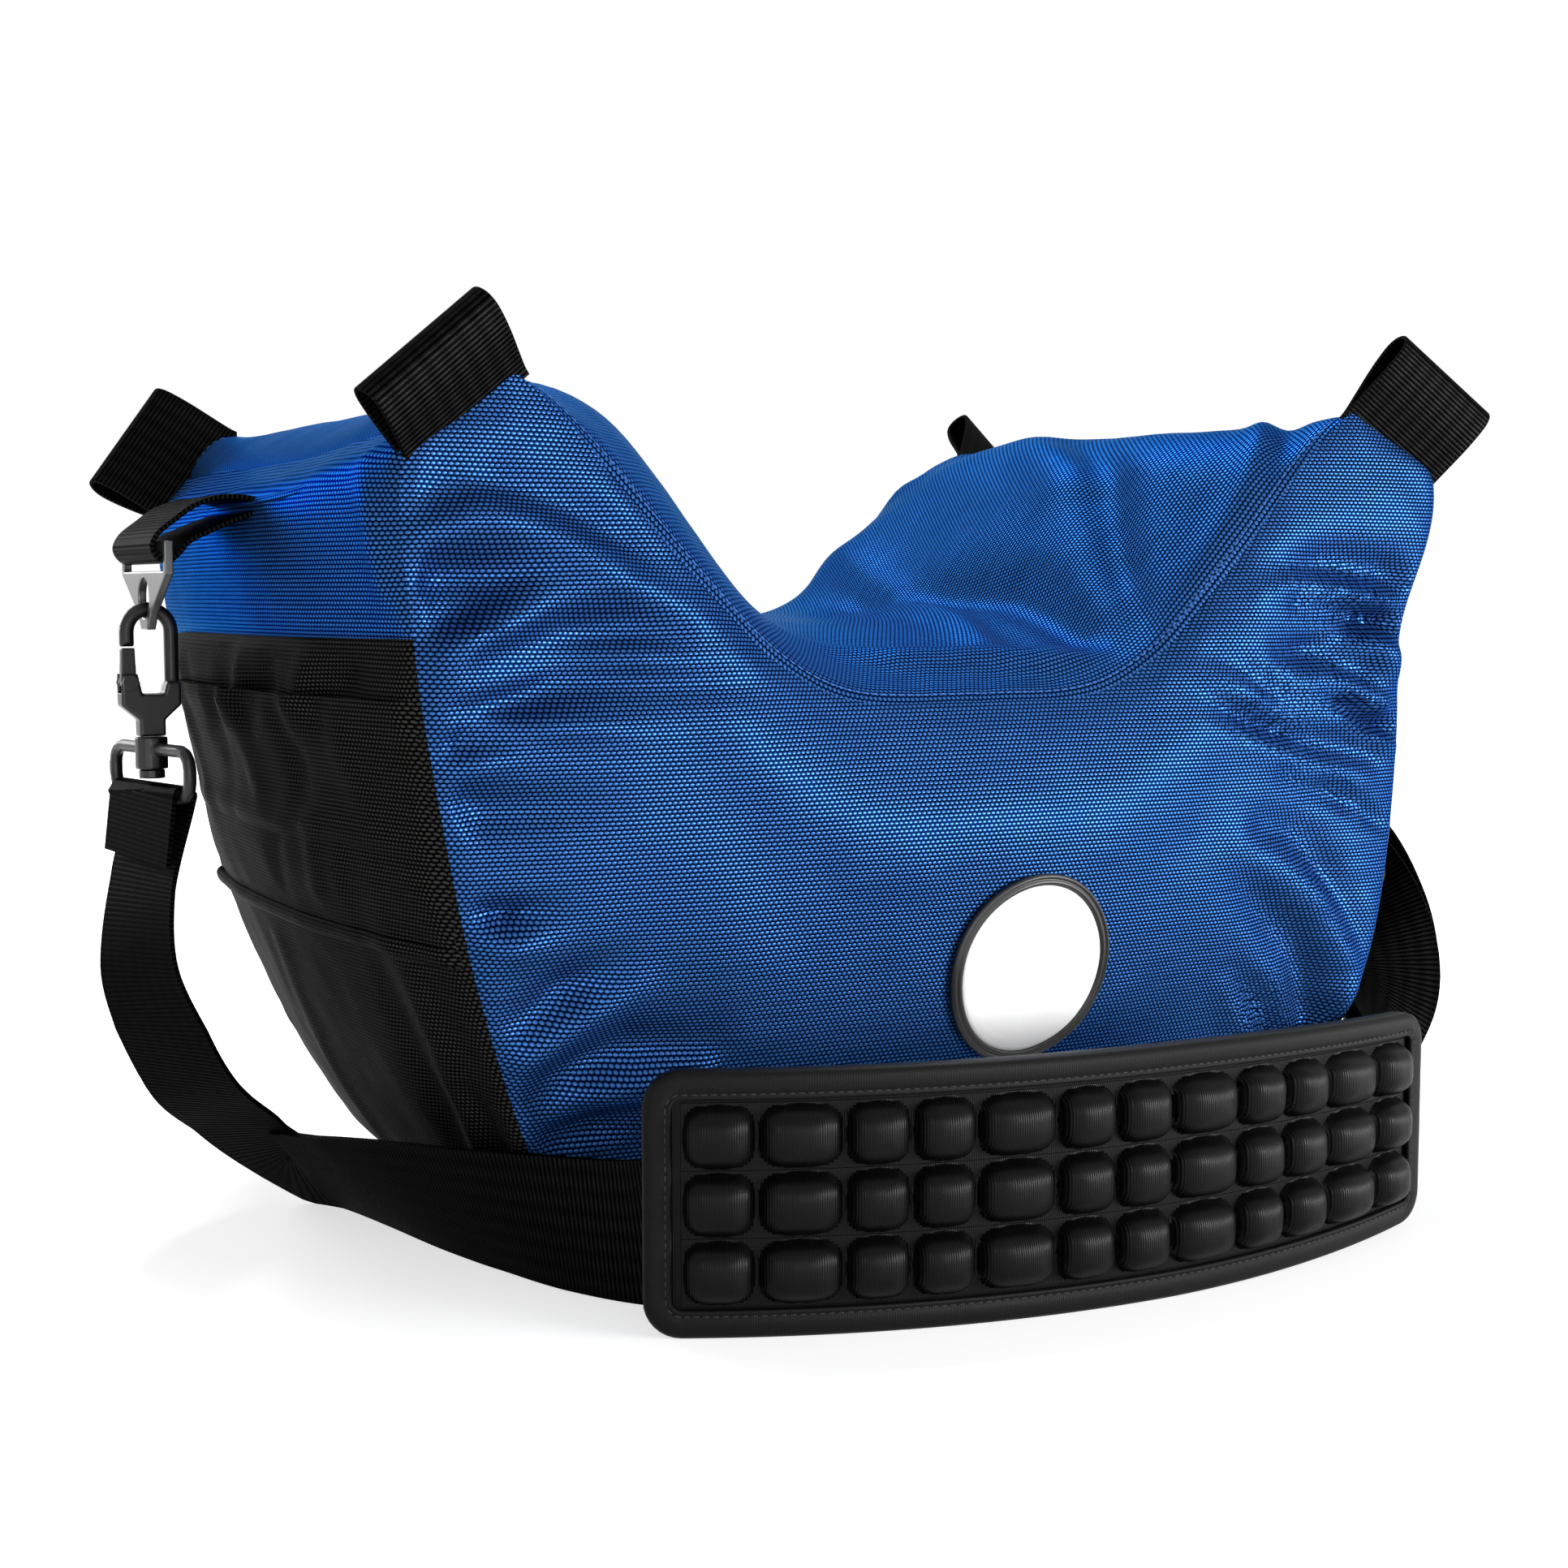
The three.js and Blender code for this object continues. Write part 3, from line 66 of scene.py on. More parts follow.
def math_node(tree, operation, *terms, clamp=False):
    """One step of arithmetic on sockets and numbers."""
    node = tree.nodes.new("ShaderNodeMath")
    node.operation = operation
    node.use_clamp = clamp
    for socket, term in zip(node.inputs, terms):
        if isinstance(term, (int, float)):
            socket.default_value = term
        else:
            tree.links.new(term, socket)
    return node.outputs[0]


def surface(name):
    """A new material, with its node tree and its shader's sockets."""
    made = bpy.data.materials.new(name)
    made.use_nodes = True
    return made, made.node_tree, made.node_tree.nodes["Principled BSDF"].inputs


def background_ray(tree):
    """1 on the rays that show the white background: straight from the camera, off metal or through glass."""
    rays = tree.nodes.new("ShaderNodeLightPath").outputs
    mirrored = math_node(tree, "MAXIMUM", rays["Is Camera Ray"], rays["Is Glossy Ray"])
    return math_node(tree, "MAXIMUM", mirrored, rays["Is Transmission Ray"])


bpy.ops.mesh.primitive_plane_add(size=8, location=(0, 0, 0))
floor = bpy.context.object
floor.name = "floor"
floor_paint, floor_tree, floor_shader = surface("floor_white")
dial(floor_shader, {"Base Color": (0.82, 0.82, 0.82, 1), "Roughness": 0.9, "Specular IOR Level": 0})
floor_place = floor_tree.nodes.new("ShaderNodeTexCoord")
floor_far = floor_tree.nodes.new("ShaderNodeVectorMath")
floor_far.operation = "LENGTH"
floor_tree.links.new(floor_place.outputs["Object"], floor_far.inputs[0])
# The floor seen by the camera glows less near the bag than far off. This paints the floor around the bag a
# little greyer: painted shade added to the lamps' own shadow.
floor_glow_dimmed_near_bag = floor_tree.nodes.new("ShaderNodeMapRange")
dial(floor_glow_dimmed_near_bag.inputs, {"From Min": 0.35, "From Max": 1.3, "To Min": 0.62, "To Max": 1.2})
floor_tree.links.new(floor_far.outputs["Value"], floor_glow_dimmed_near_bag.inputs["Value"])
floor_seen = math_node(floor_tree, "MULTIPLY", background_ray(floor_tree), floor_glow_dimmed_near_bag.outputs["Result"])
floor_shader["Emission Color"].default_value = (1, 1, 1, 1)
floor_tree.links.new(floor_seen, floor_shader["Emission Strength"])
floor.data.materials.append(floor_paint)

room = bpy.data.worlds.new("room")
bpy.context.scene.world = room
room.use_nodes = True
room_nodes, room_links = room.node_tree.nodes, room.node_tree.links
room_light = room_nodes["Background"]
dial(room_light.inputs, {"Color": (1, 1, 1, 1), "Strength": 0.22})
room_seen = room_nodes.new("ShaderNodeBackground")
dial(room_seen.inputs, {"Color": (1, 1, 1, 1), "Strength": 1})
room_mix = room_nodes.new("ShaderNodeMixShader")
room_links.new(background_ray(room.node_tree), room_mix.inputs["Fac"])
room_links.new(room_light.outputs[0], room_mix.inputs[1])
room_links.new(room_seen.outputs[0], room_mix.inputs[2])
room_links.new(room_mix.outputs[0], room_nodes["World Output"].inputs["Surface"])


def softbox(name, place, target, size, watts):
    """A rectangular lamp that faces its target."""
    lamp = bpy.data.lights.new(name, "AREA")
    lamp.shape = "RECTANGLE"
    lamp.size, lamp.size_y = size
    lamp.energy = watts
    holder = bpy.data.objects.new(name, lamp)
    bpy.context.collection.objects.link(holder)
    holder.location = place
    holder.rotation_euler = (Vector(target) - Vector(place)).to_track_quat("-Z", "Y").to_euler()


softbox("softbox_right", (1.05, -1.45, 0.24), (0, 0, 0.12), (0.9, 0.38), 42)
softbox("softbox_left", (-0.95, -1.5, 0.35), (0, 0, 0.12), (0.5, 0.4), 8)
softbox("softbox_back", (-0.95, 1.8, 0.8), (0, 0, 0.15), (0.9, 0.8), 20)
softbox("softbox_top", (0.2, 0.65, 1.6), (0, 0, 0.15), (0.9, 0.6), 30)

# ---------------------------------------------------------------- form of the filled bag
# The cover is cut as a saddle: two lobes with a valley between them, narrower at the base than at the
# shoulders. Each outer corner of a lobe is cut off diagonally, and a webbing loop is sewn into the cut.
BASE_SEAM_Z, SHOULDER_Z, CORNER_Z, CREST_Z, VALLEY_Z = 9, 215, 282, 299, 191
CREST_HALF, CORNER_HALF, HORN_HALF, HORN_Z = 179, 198.25, 214, 268
BASE_HALF, BASE_DEPTH = 146, 106
FRONT_BULGE, SADDLE_BULGE, SLOPE_BULGE = 13, 25, 36
END_BULGE, END_TOP_BULGE, END_BASE_BULGE, END_TOP_SAG = 14, 9, 8, 9


def through(pairs):
    """A number that follows smoothly through (place, value) pairs."""
    at, value = np.array(pairs, float).T

    def follow(x):
        i = np.clip(np.searchsorted(at, x) - 1, 0, len(at) - 2)
        before, after = np.maximum(i - 1, 0), np.minimum(i + 2, len(at) - 1)
        span = at[i + 1] - at[i]
        t = (x - at[i]) / span
        slope = (value[i + 1] - value[before]) / (at[i + 1] - at[before]) * span
        next_slope = (value[after] - value[i]) / (at[after] - at[i]) * span
        return (
            (2 * t**3 - 3 * t**2 + 1) * value[i]
            + (t**3 - 2 * t**2 + t) * slope
            + (3 * t**2 - 2 * t**3) * value[i + 1]
            + (t**3 - t**2) * next_slope
        )

    return follow


length_along = through(
    [(9, 146), (47.7, 168), (106, 190), (160.5, 203), (215, 212), (268, 214), (282, 198.25)]
)


def half_length(z):
    return length_along(np.minimum(z, CORNER_Z))


half_depth = through([(9, 106), (106, 125.5), (215, 132), (282, 130)])
RISE = CREST_Z - VALLEY_Z
SEAM_SHARES = [(0.3, 0.02), (0.47, 0.15), (0.6, 0.34), (0.74, 0.58), (0.9, 0.87), (1, 1)]
seam_line = through(
    [(0, VALLEY_Z)] + [(CREST_HALF * share, VALLEY_Z + RISE * height) for share, height in SEAM_SHARES]
)


def places(x, y, z):
    """Points from their three coordinates."""
    return np.stack(np.broadcast_arrays(x, y, z), axis=-1)


def hump(x):
    """1 in the middle, 0 at both edges."""
    return 1 - np.clip(x, -1, 1) ** 2


SHIFTS = [  # place, reach and shift of each part that leans or slumps
    ((-214, -131, 268), 45, (0, 0, 2.5)),
    ((214, -131, 268), 45, (4, -9, 7)),
    ((-179, 130, 299), 45, (-9, 8, 0)),
    ((-214, 131, 268), 40, (0, -7, -9)),
    ((190, -110, 60), 62, (15, -12, 0)),
    ((212, -131, 215), 26, (-6, 0, 0)),
    ((205, -125, 140), 50, (7, 0, 0)),
    ((-128, -50, 285), 48, (3, -2, 9)),
    ((62, 62, 236), 42, (-3, 0, 12)),
]


def settled(points):
    """The form as it stands: the lobes' corners lean a little, and one lower corner slumps."""
    moved = np.array(points, float)
    for place, reach, shift in SHIFTS:
        near = np.exp(-np.sum((points - np.array(place)) ** 2, axis=-1) / reach**2)
        moved += near[..., None] * np.array(shift)
    return moved


def seam_height(x):
    """Height of the saddle's seam over a distance from the middle, down the diagonal cut past the crest."""
    x = np.abs(x)
    cut = CREST_Z + (CORNER_Z - CREST_Z) * (x - CREST_HALF) / (CORNER_HALF - CREST_HALF)
    return np.where(x <= CREST_HALF, seam_line(np.minimum(x, CREST_HALF)), cut)


SEAM_COLUMNS, CUT_COLUMNS = 64, 8
right_x = np.concatenate(
    [np.linspace(0, CREST_HALF, SEAM_COLUMNS), np.linspace(CREST_HALF, CORNER_HALF, CUT_COLUMNS)[1:]]
)
column_x = np.concatenate([-right_x[:0:-1], right_x])
column_z = seam_height(column_x)
column_share = column_x / half_length(column_z)
column_share[0], column_share[-1] = -1, 1


def front_bulge(a, c):
    """How far the filling pushes the front or back out, over the shares across and up."""
    return FRONT_BULGE * hump(a) * np.sin(np.pi * c) ** 0.8


def front_grid(rows, side):
    """Points of the front or back, [column, row], with the shares across and up."""
    c = np.linspace(0, 1, rows)[None, :]
    a = column_share[:, None] * np.ones_like(c)
    level = BASE_SEAM_Z + c * (column_z[:, None] - BASE_SEAM_Z)
    x = a * half_length(level)
    y = side * (half_depth(level) + front_bulge(a, c))
    return settled(places(x, y, level)), a, c * np.ones_like(a)


SHOULDER_SHARE = (SHOULDER_Z - BASE_SEAM_Z) / (CORNER_Z - BASE_SEAM_Z)


def end_bulge(c):
    """How far the filling pushes the middle of an end out, over the share of its height."""
    belly = (END_BULGE - END_BASE_BULGE) * np.sin(np.pi * np.clip(c, 0, 0.5))
    taper = (END_BULGE - END_TOP_BULGE) * np.maximum(0, (c - 0.8) / 0.2)
    return END_BASE_BULGE + belly - taper


def end_grid(across, low, high, rows, side):
    """Points of an end between two heights of its edge."""
    b = np.linspace(-1, 1, across)[:, None]
    edge = np.linspace(low, high, rows)[None, :]
    c = (edge - BASE_SEAM_Z) / (CORNER_Z - BASE_SEAM_Z) * np.ones_like(b)
    x = side * (half_length(edge) + hump(b) * end_bulge(c))
    y = b * half_depth(edge)
    sag = END_TOP_SAG * hump(b) * np.maximum(0, (c - SHOULDER_SHARE) / (1 - SHOULDER_SHARE))
    z = BASE_SEAM_Z + c * (CORNER_Z - BASE_SEAM_Z) - sag
    return settled(places(x, y, z)), b * np.ones_like(c), c


saddle_crown = through(
    [(0, SADDLE_BULGE), (0.25, SADDLE_BULGE + 2), (0.5, SLOPE_BULGE), (0.7, SLOPE_BULGE), (1, 0)]
)
EASING_TURNS = 60


def saddle_grid(across):
    """The saddle's points. Its crown stands square to the slopes, and the filling rounds its crests."""
    b = np.linspace(-1, 1, across)[None, :]
    share = np.abs(column_share)[:, None]
    at_end = np.maximum(0, (share - 0.75) / 0.25)
    slope = np.gradient(column_z, column_x)[:, None]
    crown = (1 - np.abs(b) ** 2.6) * saddle_crown(share) * (1 - at_end) / np.hypot(1, slope)
    z = column_z[:, None] + crown - hump(b) * END_TOP_SAG * at_end
    reach = half_length(column_z)[:, None] + hump(b) * END_TOP_BULGE * at_end
    x = column_share[:, None] * reach - crown * slope
    for turn in range(EASING_TURNS):
        eased_x, eased_z = x.copy(), z.copy()
        eased_x[1:-1] = (x[:-2] + 2 * x[1:-1] + x[2:]) / 4
        eased_z[1:-1] = (z[:-2] + 2 * z[1:-1] + z[2:]) / 4
        x, z = x + (eased_x - x) * hump(b) ** 0.5, z + (eased_z - z) * hump(b) ** 0.5
    y = b * half_depth(column_z)[:, None]
    return settled(places(x, y, z)), column_share[:, None] * np.ones_like(b), b * np.ones_like(share)


def bottom_grid(across):
    """The base's points: flat in the middle, and turned up at the rim."""
    b = np.linspace(-1, 1, across)[None, :]
    a = column_share[:, None] * np.ones_like(b)
    rim = np.clip((np.maximum(np.abs(a), np.abs(b)) - 0.67) / 0.33, 0, 1)
    x = a * (BASE_HALF + hump(b) * END_BASE_BULGE)
    z = BASE_SEAM_Z * rim**2 + 0.3
    return settled(places(x, b * BASE_DEPTH, z))


def outward_normals(grid, flip):
    """Unit normals of a grid of points."""
    du = np.gradient(grid, axis=0)
    dv = np.gradient(grid, axis=1)
    n = np.cross(du, dv) * flip
    return n / np.maximum(np.linalg.norm(n, axis=-1, keepdims=True), 1e-9)


def stroke(u, v, width, points):
    """Height of a fold through points (u, v, height): a ridge, or a valley where the height is negative."""
    best = np.full(u.shape, 1e9)
    height = np.zeros(u.shape)
    for (u0, v0, h0), (u1, v1, h1) in zip(points, points[1:]):
        run = (u1 - u0) ** 2 + (v1 - v0) ** 2
        t = np.clip(((u - u0) * (u1 - u0) + (v - v0) * (v1 - v0)) / run, 0, 1)
        d = (u - u0 - t * (u1 - u0)) ** 2 + (v - v0 - t * (v1 - v0)) ** 2
        near = d < best
        best = np.where(near, d, best)
        height = np.where(near, h0 + t * (h1 - h0), height)
    return height * np.exp(-best / width**2)


def clear_of(edge):
    """0 at a seam and 1 well away from it, so that folds die out where the cloth is sewn."""
    return 1 - np.exp(-((edge / 7) ** 2))


def swell(edge, height=2.8, reach=2.6):
    """Filled cloth stands up beside its seams, and the seams stay where they are."""
    return height * (1 - np.exp(-np.maximum(edge, 0) / reach))


def soft_noise(points, scale, seed):
    """Smooth noise from -1 to 1 over a grid of points, at a scale in millimetres."""
    flat = points.reshape(-1, 3) / scale + seed
    values = [noise.noise(Vector(p)) for p in flat]
    return np.array(values).reshape(points.shape[:-1])


def shaped(piece, kind, **settings):
    """Applies a modifier to the active piece."""
    change = piece.modifiers.new(kind.lower(), kind)
    for name, value in settings.items():
        setattr(change, name, value)
    bpy.ops.object.modifier_apply(modifier=change.name)


def skin_mesh(name, grid, u, v, thick, flip, offset=-1):
    """A sewn panel: a grid of points in millimetres as a mesh in metres, with a wall and its flat pattern."""
    columns, rows = grid.shape[:2]
    bpy.ops.object.select_all(action="DESELECT")
    bpy.ops.mesh.primitive_grid_add(x_subdivisions=columns - 1, y_subdivisions=rows - 1, size=1)
    skin = bpy.context.object
    skin.name = skin.data.name = name
    place = grid.transpose(1, 0, 2).reshape(-1, 3) * MM
    pattern = np.stack([u.T.reshape(-1), v.T.reshape(-1)], axis=-1) * MM
    skin.data.vertices.foreach_set("co", place.reshape(-1))
    corner = np.empty(len(skin.data.loops), int)
    skin.data.loops.foreach_get("vertex_index", corner)
    skin.data.uv_layers.active.data.foreach_set("uv", pattern[corner].reshape(-1))
    if flip:
        skin.data.flip_normals()
    skin.data.update()
    shaped(skin, "SOLIDIFY", thickness=thick * MM, offset=offset)
    bpy.ops.object.shade_smooth_by_angle(angle=math.radians(50))
    return skin


def finish_piece(piece, material, body, nodes):
    """Gives a piece its material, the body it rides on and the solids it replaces."""
    piece.data.materials.clear()
    piece.data.materials.append(material)
    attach(piece, body)
    if nodes:
        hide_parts(*nodes)
    return piece


# ---------------------------------------------------------------- woven cloth
# Ballistic nylon is a thick basket weave. Each float of yarn stands up as a bead, and the beads of one row
# lie between those of the next. The colour paints each bead's top light, as painted highlight, and the gaps
# dark, as painted shade.
YARN_PITCH, ROW_SHARE = 1.95 * MM, 0.72
ROWS_BELOW = 4000  # keeps the count of rows and columns above zero
weave = bpy.data.node_groups.new("ballistic_weave", "ShaderNodeTree")
for socket in ["Across", "Up", "Pitch"]:
    weave.interface.new_socket(socket, in_out="INPUT", socket_type="NodeSocketFloat")
for socket in ["Bead", "Height", "Streak"]:
    weave.interface.new_socket(socket, in_out="OUTPUT", socket_type="NodeSocketFloat")


def off_middle(place, width):
    """Squared distance from a bead's middle, over a count of beads."""
    off = math_node(weave, "SUBTRACT", math_node(weave, "FRACT", place), 0.5)
    share = math_node(weave, "MULTIPLY", math_node(weave, "ABSOLUTE", off), width)
    return math_node(weave, "POWER", share, 2)


inside = weave.nodes.new("NodeGroupInput").outputs
outside = weave.nodes.new("NodeGroupOutput").inputs
column = math_node(weave, "DIVIDE", inside["Across"], inside["Pitch"])
row = math_node(weave, "DIVIDE", inside["Up"], math_node(weave, "MULTIPLY", inside["Pitch"], ROW_SHARE))
row_count = math_node(weave, "ADD", row, ROWS_BELOW)
parity = math_node(weave, "MODULO", math_node(weave, "FLOOR", row_count), 2)
half_step = math_node(weave, "MULTIPLY", parity, 0.5)
column_count = math_node(weave, "ADD", math_node(weave, "ADD", column, ROWS_BELOW), half_step)
off_bead = math_node(weave, "ADD", off_middle(column_count, 2.05), off_middle(row_count, 2.25))
# 1 on a bead's top and 0 in the gaps: where the colour puts painted highlight and painted shade.
bead = math_node(weave, "SUBTRACT", 1, off_bead, clamp=True)
threads = weave.nodes.new("ShaderNodeTexNoise")
threads.noise_dimensions = "2D"
dial(threads.inputs, {"Scale": 1, "Detail": 1})
thread_place = weave.nodes.new("ShaderNodeCombineXYZ")
for value, socket in [
    (bead, outside["Bead"]),
    (math_node(weave, "POWER", bead, 0.5), outside["Height"]),
    (math_node(weave, "MULTIPLY", column, 0.06), thread_place.inputs[0]),
    (math_node(weave, "MULTIPLY", row, 1.1), thread_place.inputs[1]),
    (thread_place.outputs[0], threads.inputs["Vector"]),
    (threads.outputs["Fac"], outside["Streak"]),
]:
    weave.links.new(value, socket)


def pattern_sockets(tree):
    """The flat pattern's own places, across and up."""
    parts = tree.nodes.new("ShaderNodeSeparateXYZ")
    tree.links.new(tree.nodes.new("ShaderNodeUVMap").outputs["UV"], parts.inputs[0])
    return parts.outputs["X"], parts.outputs["Y"]


def two_tone(tree, shader, dark, light, factor):
    """Colours a shader between two tones."""
    tone = tree.nodes.new("ShaderNodeMix")
    tone.data_type = "RGBA"
    dial(tone.inputs, {"A": (*dark, 1), "B": (*light, 1)})
    tree.links.new(factor, tone.inputs["Factor"])
    tree.links.new(tone.outputs["Result"], shader["Base Color"])


def raise_surface(tree, shader, height, strength, distance):
    """Small relief on a shader, with its height in millimetres."""
    relief = tree.nodes.new("ShaderNodeBump")
    dial(relief.inputs, {"Strength": strength, "Distance": distance * MM})
    tree.links.new(height, relief.inputs["Height"])
    tree.links.new(relief.outputs["Normal"], shader["Normal"])


def woven(name, dark, light, roughness, shine, glance, haze):
    """Ballistic nylon: beads of a light colour over gaps of a dark one, uneven from yarn to yarn. The light
    bead tone is painted highlight, the dark gap tone painted shade.
    """
    cloth, tree, shader = surface(name)
    across, up = pattern_sockets(tree)
    beads = tree.nodes.new("ShaderNodeGroup")
    beads.node_tree = weave
    beads.inputs["Pitch"].default_value = YARN_PITCH
    tree.links.new(across, beads.inputs["Across"])
    tree.links.new(up, beads.inputs["Up"])
    lift = math_node(tree, "MULTIPLY_ADD", beads.outputs["Streak"], 0.5, 0.75)
    # The bead mask mixes painted shade in the gaps with painted highlight on the bead tops; the streaks are
    # the yarns' own uneven tone.
    two_tone(tree, shader, dark, light, math_node(tree, "MULTIPLY", beads.outputs["Bead"], lift, clamp=True))
    raise_surface(tree, shader, beads.outputs["Height"], 1, 0.25)
    dial(shader, {"Roughness": roughness, "Specular IOR Level": haze, "Metallic": shine})
    shader["Specular Tint"].default_value = (*glance, 1)
    return cloth


# Gap tones are painted shade between the yarn floats, and bead tones are painted highlight over the yarn's
# own colour.
BLUE_GAP_SHADE, BLUE_LIT_BEAD = (0.0001, 0.0035, 0.02), (0.044, 0.142, 0.42)
BLACK_GAP_SHADE, BLACK_LIT_BEAD = (0.0003, 0.0003, 0.0003), (0.04, 0.039, 0.038)
blue_nylon = woven("blue_nylon", BLUE_GAP_SHADE, BLUE_LIT_BEAD, 0.34, 0.55, (0, 0.4, 0.8), 0)
black_nylon = woven("black_nylon", BLACK_GAP_SHADE, BLACK_LIT_BEAD, 0.42, 0.55, (0.04, 0.04, 0.04), 0.006)

# ---------------------------------------------------------------- front and back panels
# One piece of nylon each, from the base seam up to the saddle's seam. The side seams gather them, so that
# folds run in from the seams and die out over the filled middle.
PANEL_ROWS, FOLD_DEPTH, SKIN_THICK = 112, 1.95, 1.2
FRONT_SEED, BACK_SEED = 11.3, 31.7
FRONT_FOLDS = [
    (9, [(-212, 258, -2.5), (-185, 262, -3), (-163, 255, -3), (-142, 244, -2.5), (-125, 228, -1)]),
    (8, [(-211, 248, 3), (-191, 254, 4), (-171, 250, 4), (-153, 241, 3.5), (-133, 230, 2.5), (-108, 214, 1)]),
    (9, [(-214, 234, -6), (-192, 234, -5), (-171, 232, -2)]),
    (4.5, [(-213, 218, -3), (-199, 222, -4), (-183, 227, -1)]),
    (8, [(-214, 206, 3), (-194, 218, 4), (-168, 230, 4), (-150, 232, 1.5)]),
    (9, [(-184, 205, -2), (-160, 215, -5), (-138, 217, -4), (-116, 212, -1.5)]),
    (6, [(-213, 197, 3), (-187, 201, 3), (-161, 209, 3), (-140, 209, 3), (-98, 206, 0.8)]),
    (7, [(-198, 193, -3), (-181, 196, -4), (-160, 203, -4), (-138, 202, -3), (-98, 200, -0.8)]),
    (5, [(-211, 189, 2.5), (-198, 189, 3), (-160, 188, 2), (-130, 185, 0.5)]),
    (5, [(-208, 181, -3.5), (-196, 185, -3.5), (-178, 186, -0.8)]),
    (5, [(-208, 173, 2), (-193, 178, 2), (-176, 181, 0.5)]),
    (7, [(-206, 166, -3.5), (-190, 161, -4), (-175, 162, -3), (-153, 164, -0.8)]),
    (5, [(-197, 129, -5), (-183, 128, -4.5), (-170, 129, -1.5)]),
    (6, [(-195, 122, 3), (-180, 119, 2.5), (-166, 121, 0.5)]),
    (8, [(-186, 84, -1.5), (-172, 92, -3), (-160, 102, -4), (-146, 109, -1)]),
    (7, [(-183, 75, 3), (-160, 91, 3), (-138, 103, 0.8)]),
    (9, [(-173, 58, -3), (-155, 72, -4), (-138, 81, -4), (-112, 81, -1.5)]),
    (6, [(-168, 60, 2), (-152, 67, 3), (-130, 67, 3), (-110, 71, 1.5)]),
    (6, [(-162, 50, -3), (-146, 53, -3.5), (-126, 54, -1)]),
    (9, [(142, 236, -2), (165, 241, -5), (195, 237, -5), (215, 230, -3)]),
    (5, [(129, 230, 1), (147, 234, 3), (171, 230, 3), (210, 226, 2)]),
    (5, [(149, 226, -2), (171, 222, -4), (192, 221, -2)]),
    (5, [(168, 212, -1), (185, 217, -6), (212, 218, -7)]),
    (9, [(168, 206, 1), (190, 207, 4), (206, 202, 4)]),
    (8, [(138, 204, -2), (159, 206, -6), (183, 201, -4)]),
    (5, [(128, 203, 1), (159, 199, 3), (193, 186, 3)]),
    (4, [(150, 195, -1), (173, 186, -5), (190, 178, -6), (210, 175, -5)]),
    (5, [(128, 198, 1), (153, 191, 3), (184, 177, 3), (205, 168, 2)]),
    (6, [(106, 205, -1), (134, 192, -3), (160, 182, -2), (184, 172, -0.5)]),
    (6, [(85, 198, 0.8), (123, 188, 3), (160, 175, 3), (190, 163, 1.5)]),
    (6, [(90, 196, -1), (111, 186, -4), (135, 178, -6), (161, 171, -6), (190, 165, -3)]),
    (7, [(112, 178, 1), (135, 172, 2.5), (161, 164, 2), (185, 156, 1)]),
    (4, [(140, 160, -1), (158, 152, -1.8), (178, 147, -0.8)]),
    (4, [(165, 155, -1.5), (190, 142, -2), (205, 135, -1.5)]),
    (8, [(132, 140, -1.5), (151, 135, -3), (167, 120, -4), (179, 100, -4), (190, 86, -4)]),
    (9, [(119, 134, 1), (154, 116, 3), (171, 104, 3.5), (190, 79, 4), (185, 58, 4)]),
    (8, [(122, 116, -1), (144, 99, -3), (158, 83, -3.5), (168, 60, -3.5)]),
    (6, [(122, 83, -1), (139, 69, -3), (152, 52, -3)]),
    (6, [(120, 80, 0.8), (136, 59, 2)]),
]


def gather(points, along, from_seam, reach, seed):
    """Small puckers that a seam draws into the cloth beside it."""
    wander = soft_noise(points, 26, seed)
    ripple = np.sin(along / 3.4 + 5 * wander)
    return ripple * np.exp(-from_seam / reach) * (0.35 + 0.65 * np.abs(wander))


PATCH_X, PATCH_Z = 18, 95
ZIP_Z, ZIP_HALF = 62, 85


def cover_lift(grid, a, c, top, side, folds, seed):
    """How far the cloth of the front or back stands off the smooth form."""
    x, z = grid[..., 0], grid[..., 2]
    from_side = (1 - np.abs(a)) * half_length(z)
    from_top = (1 - c) * (top - BASE_SEAM_Z)
    from_base = c * (top - BASE_SEAM_Z)
    creases = 1.3 * soft_noise(grid, 45, seed) + 0.45 * soft_noise(grid, 17, seed + 7)
    creases = creases * np.clip(from_side / 30, 0.2, 1)
    for width, points in folds:
        creases += FOLD_DEPTH * stroke(x, z, width, points)
    creases += 1.8 * gather(grid, z, from_side, 16, seed + 3)
    creases += 0.7 * gather(grid, x, from_top, 8, seed + 5) + 1.1 * gather(grid, x, from_base, 9, seed + 9)
    creases += 6.5 * np.exp(-(((from_top - 42) / 26) ** 2)) * hump(x / 150)
    edge = np.minimum(np.minimum(from_side, from_top), from_base)
    puffed = np.minimum(swell(np.minimum(from_side, from_base)), swell(from_top, 2.8, 11))
    lift = creases * clear_of(edge) + puffed
    if side > 0:
        lift = lift * (1 - np.exp(-(((x / (ZIP_HALF + 8)) ** 6) + ((z - ZIP_Z) / 17) ** 4)))
    return lift


def dressed_front(side, folds, seed):
    """Points of the front or back with its folds, and its flat pattern."""
    grid, a, c = front_grid(PANEL_ROWS, side)
    lift = cover_lift(grid, a, c, column_z[:, None] * np.ones_like(c), side, folds, seed)
    return grid + outward_normals(grid, -side) * lift[..., None], grid[..., 0], grid[..., 2]


front_points, front_u, front_v = dressed_front(-1, FRONT_FOLDS, FRONT_SEED)
front_skin = skin_mesh("front_skin", front_points, front_u, front_v, SKIN_THICK, False)
finish_piece(front_skin, blue_nylon, "bag", ["front_panel"])

back_folds = [
    (width * 1.1, [(-x, z - 6, h * 0.8) for x, z, h in points]) for width, points in FRONT_FOLDS[::2]
]
back_points, back_u, back_v = dressed_front(1, back_folds, BACK_SEED)
back_skin = skin_mesh("back_skin", back_points, back_u, back_v, SKIN_THICK, True)
finish_piece(back_skin, blue_nylon, "bag", ["back_panel"])

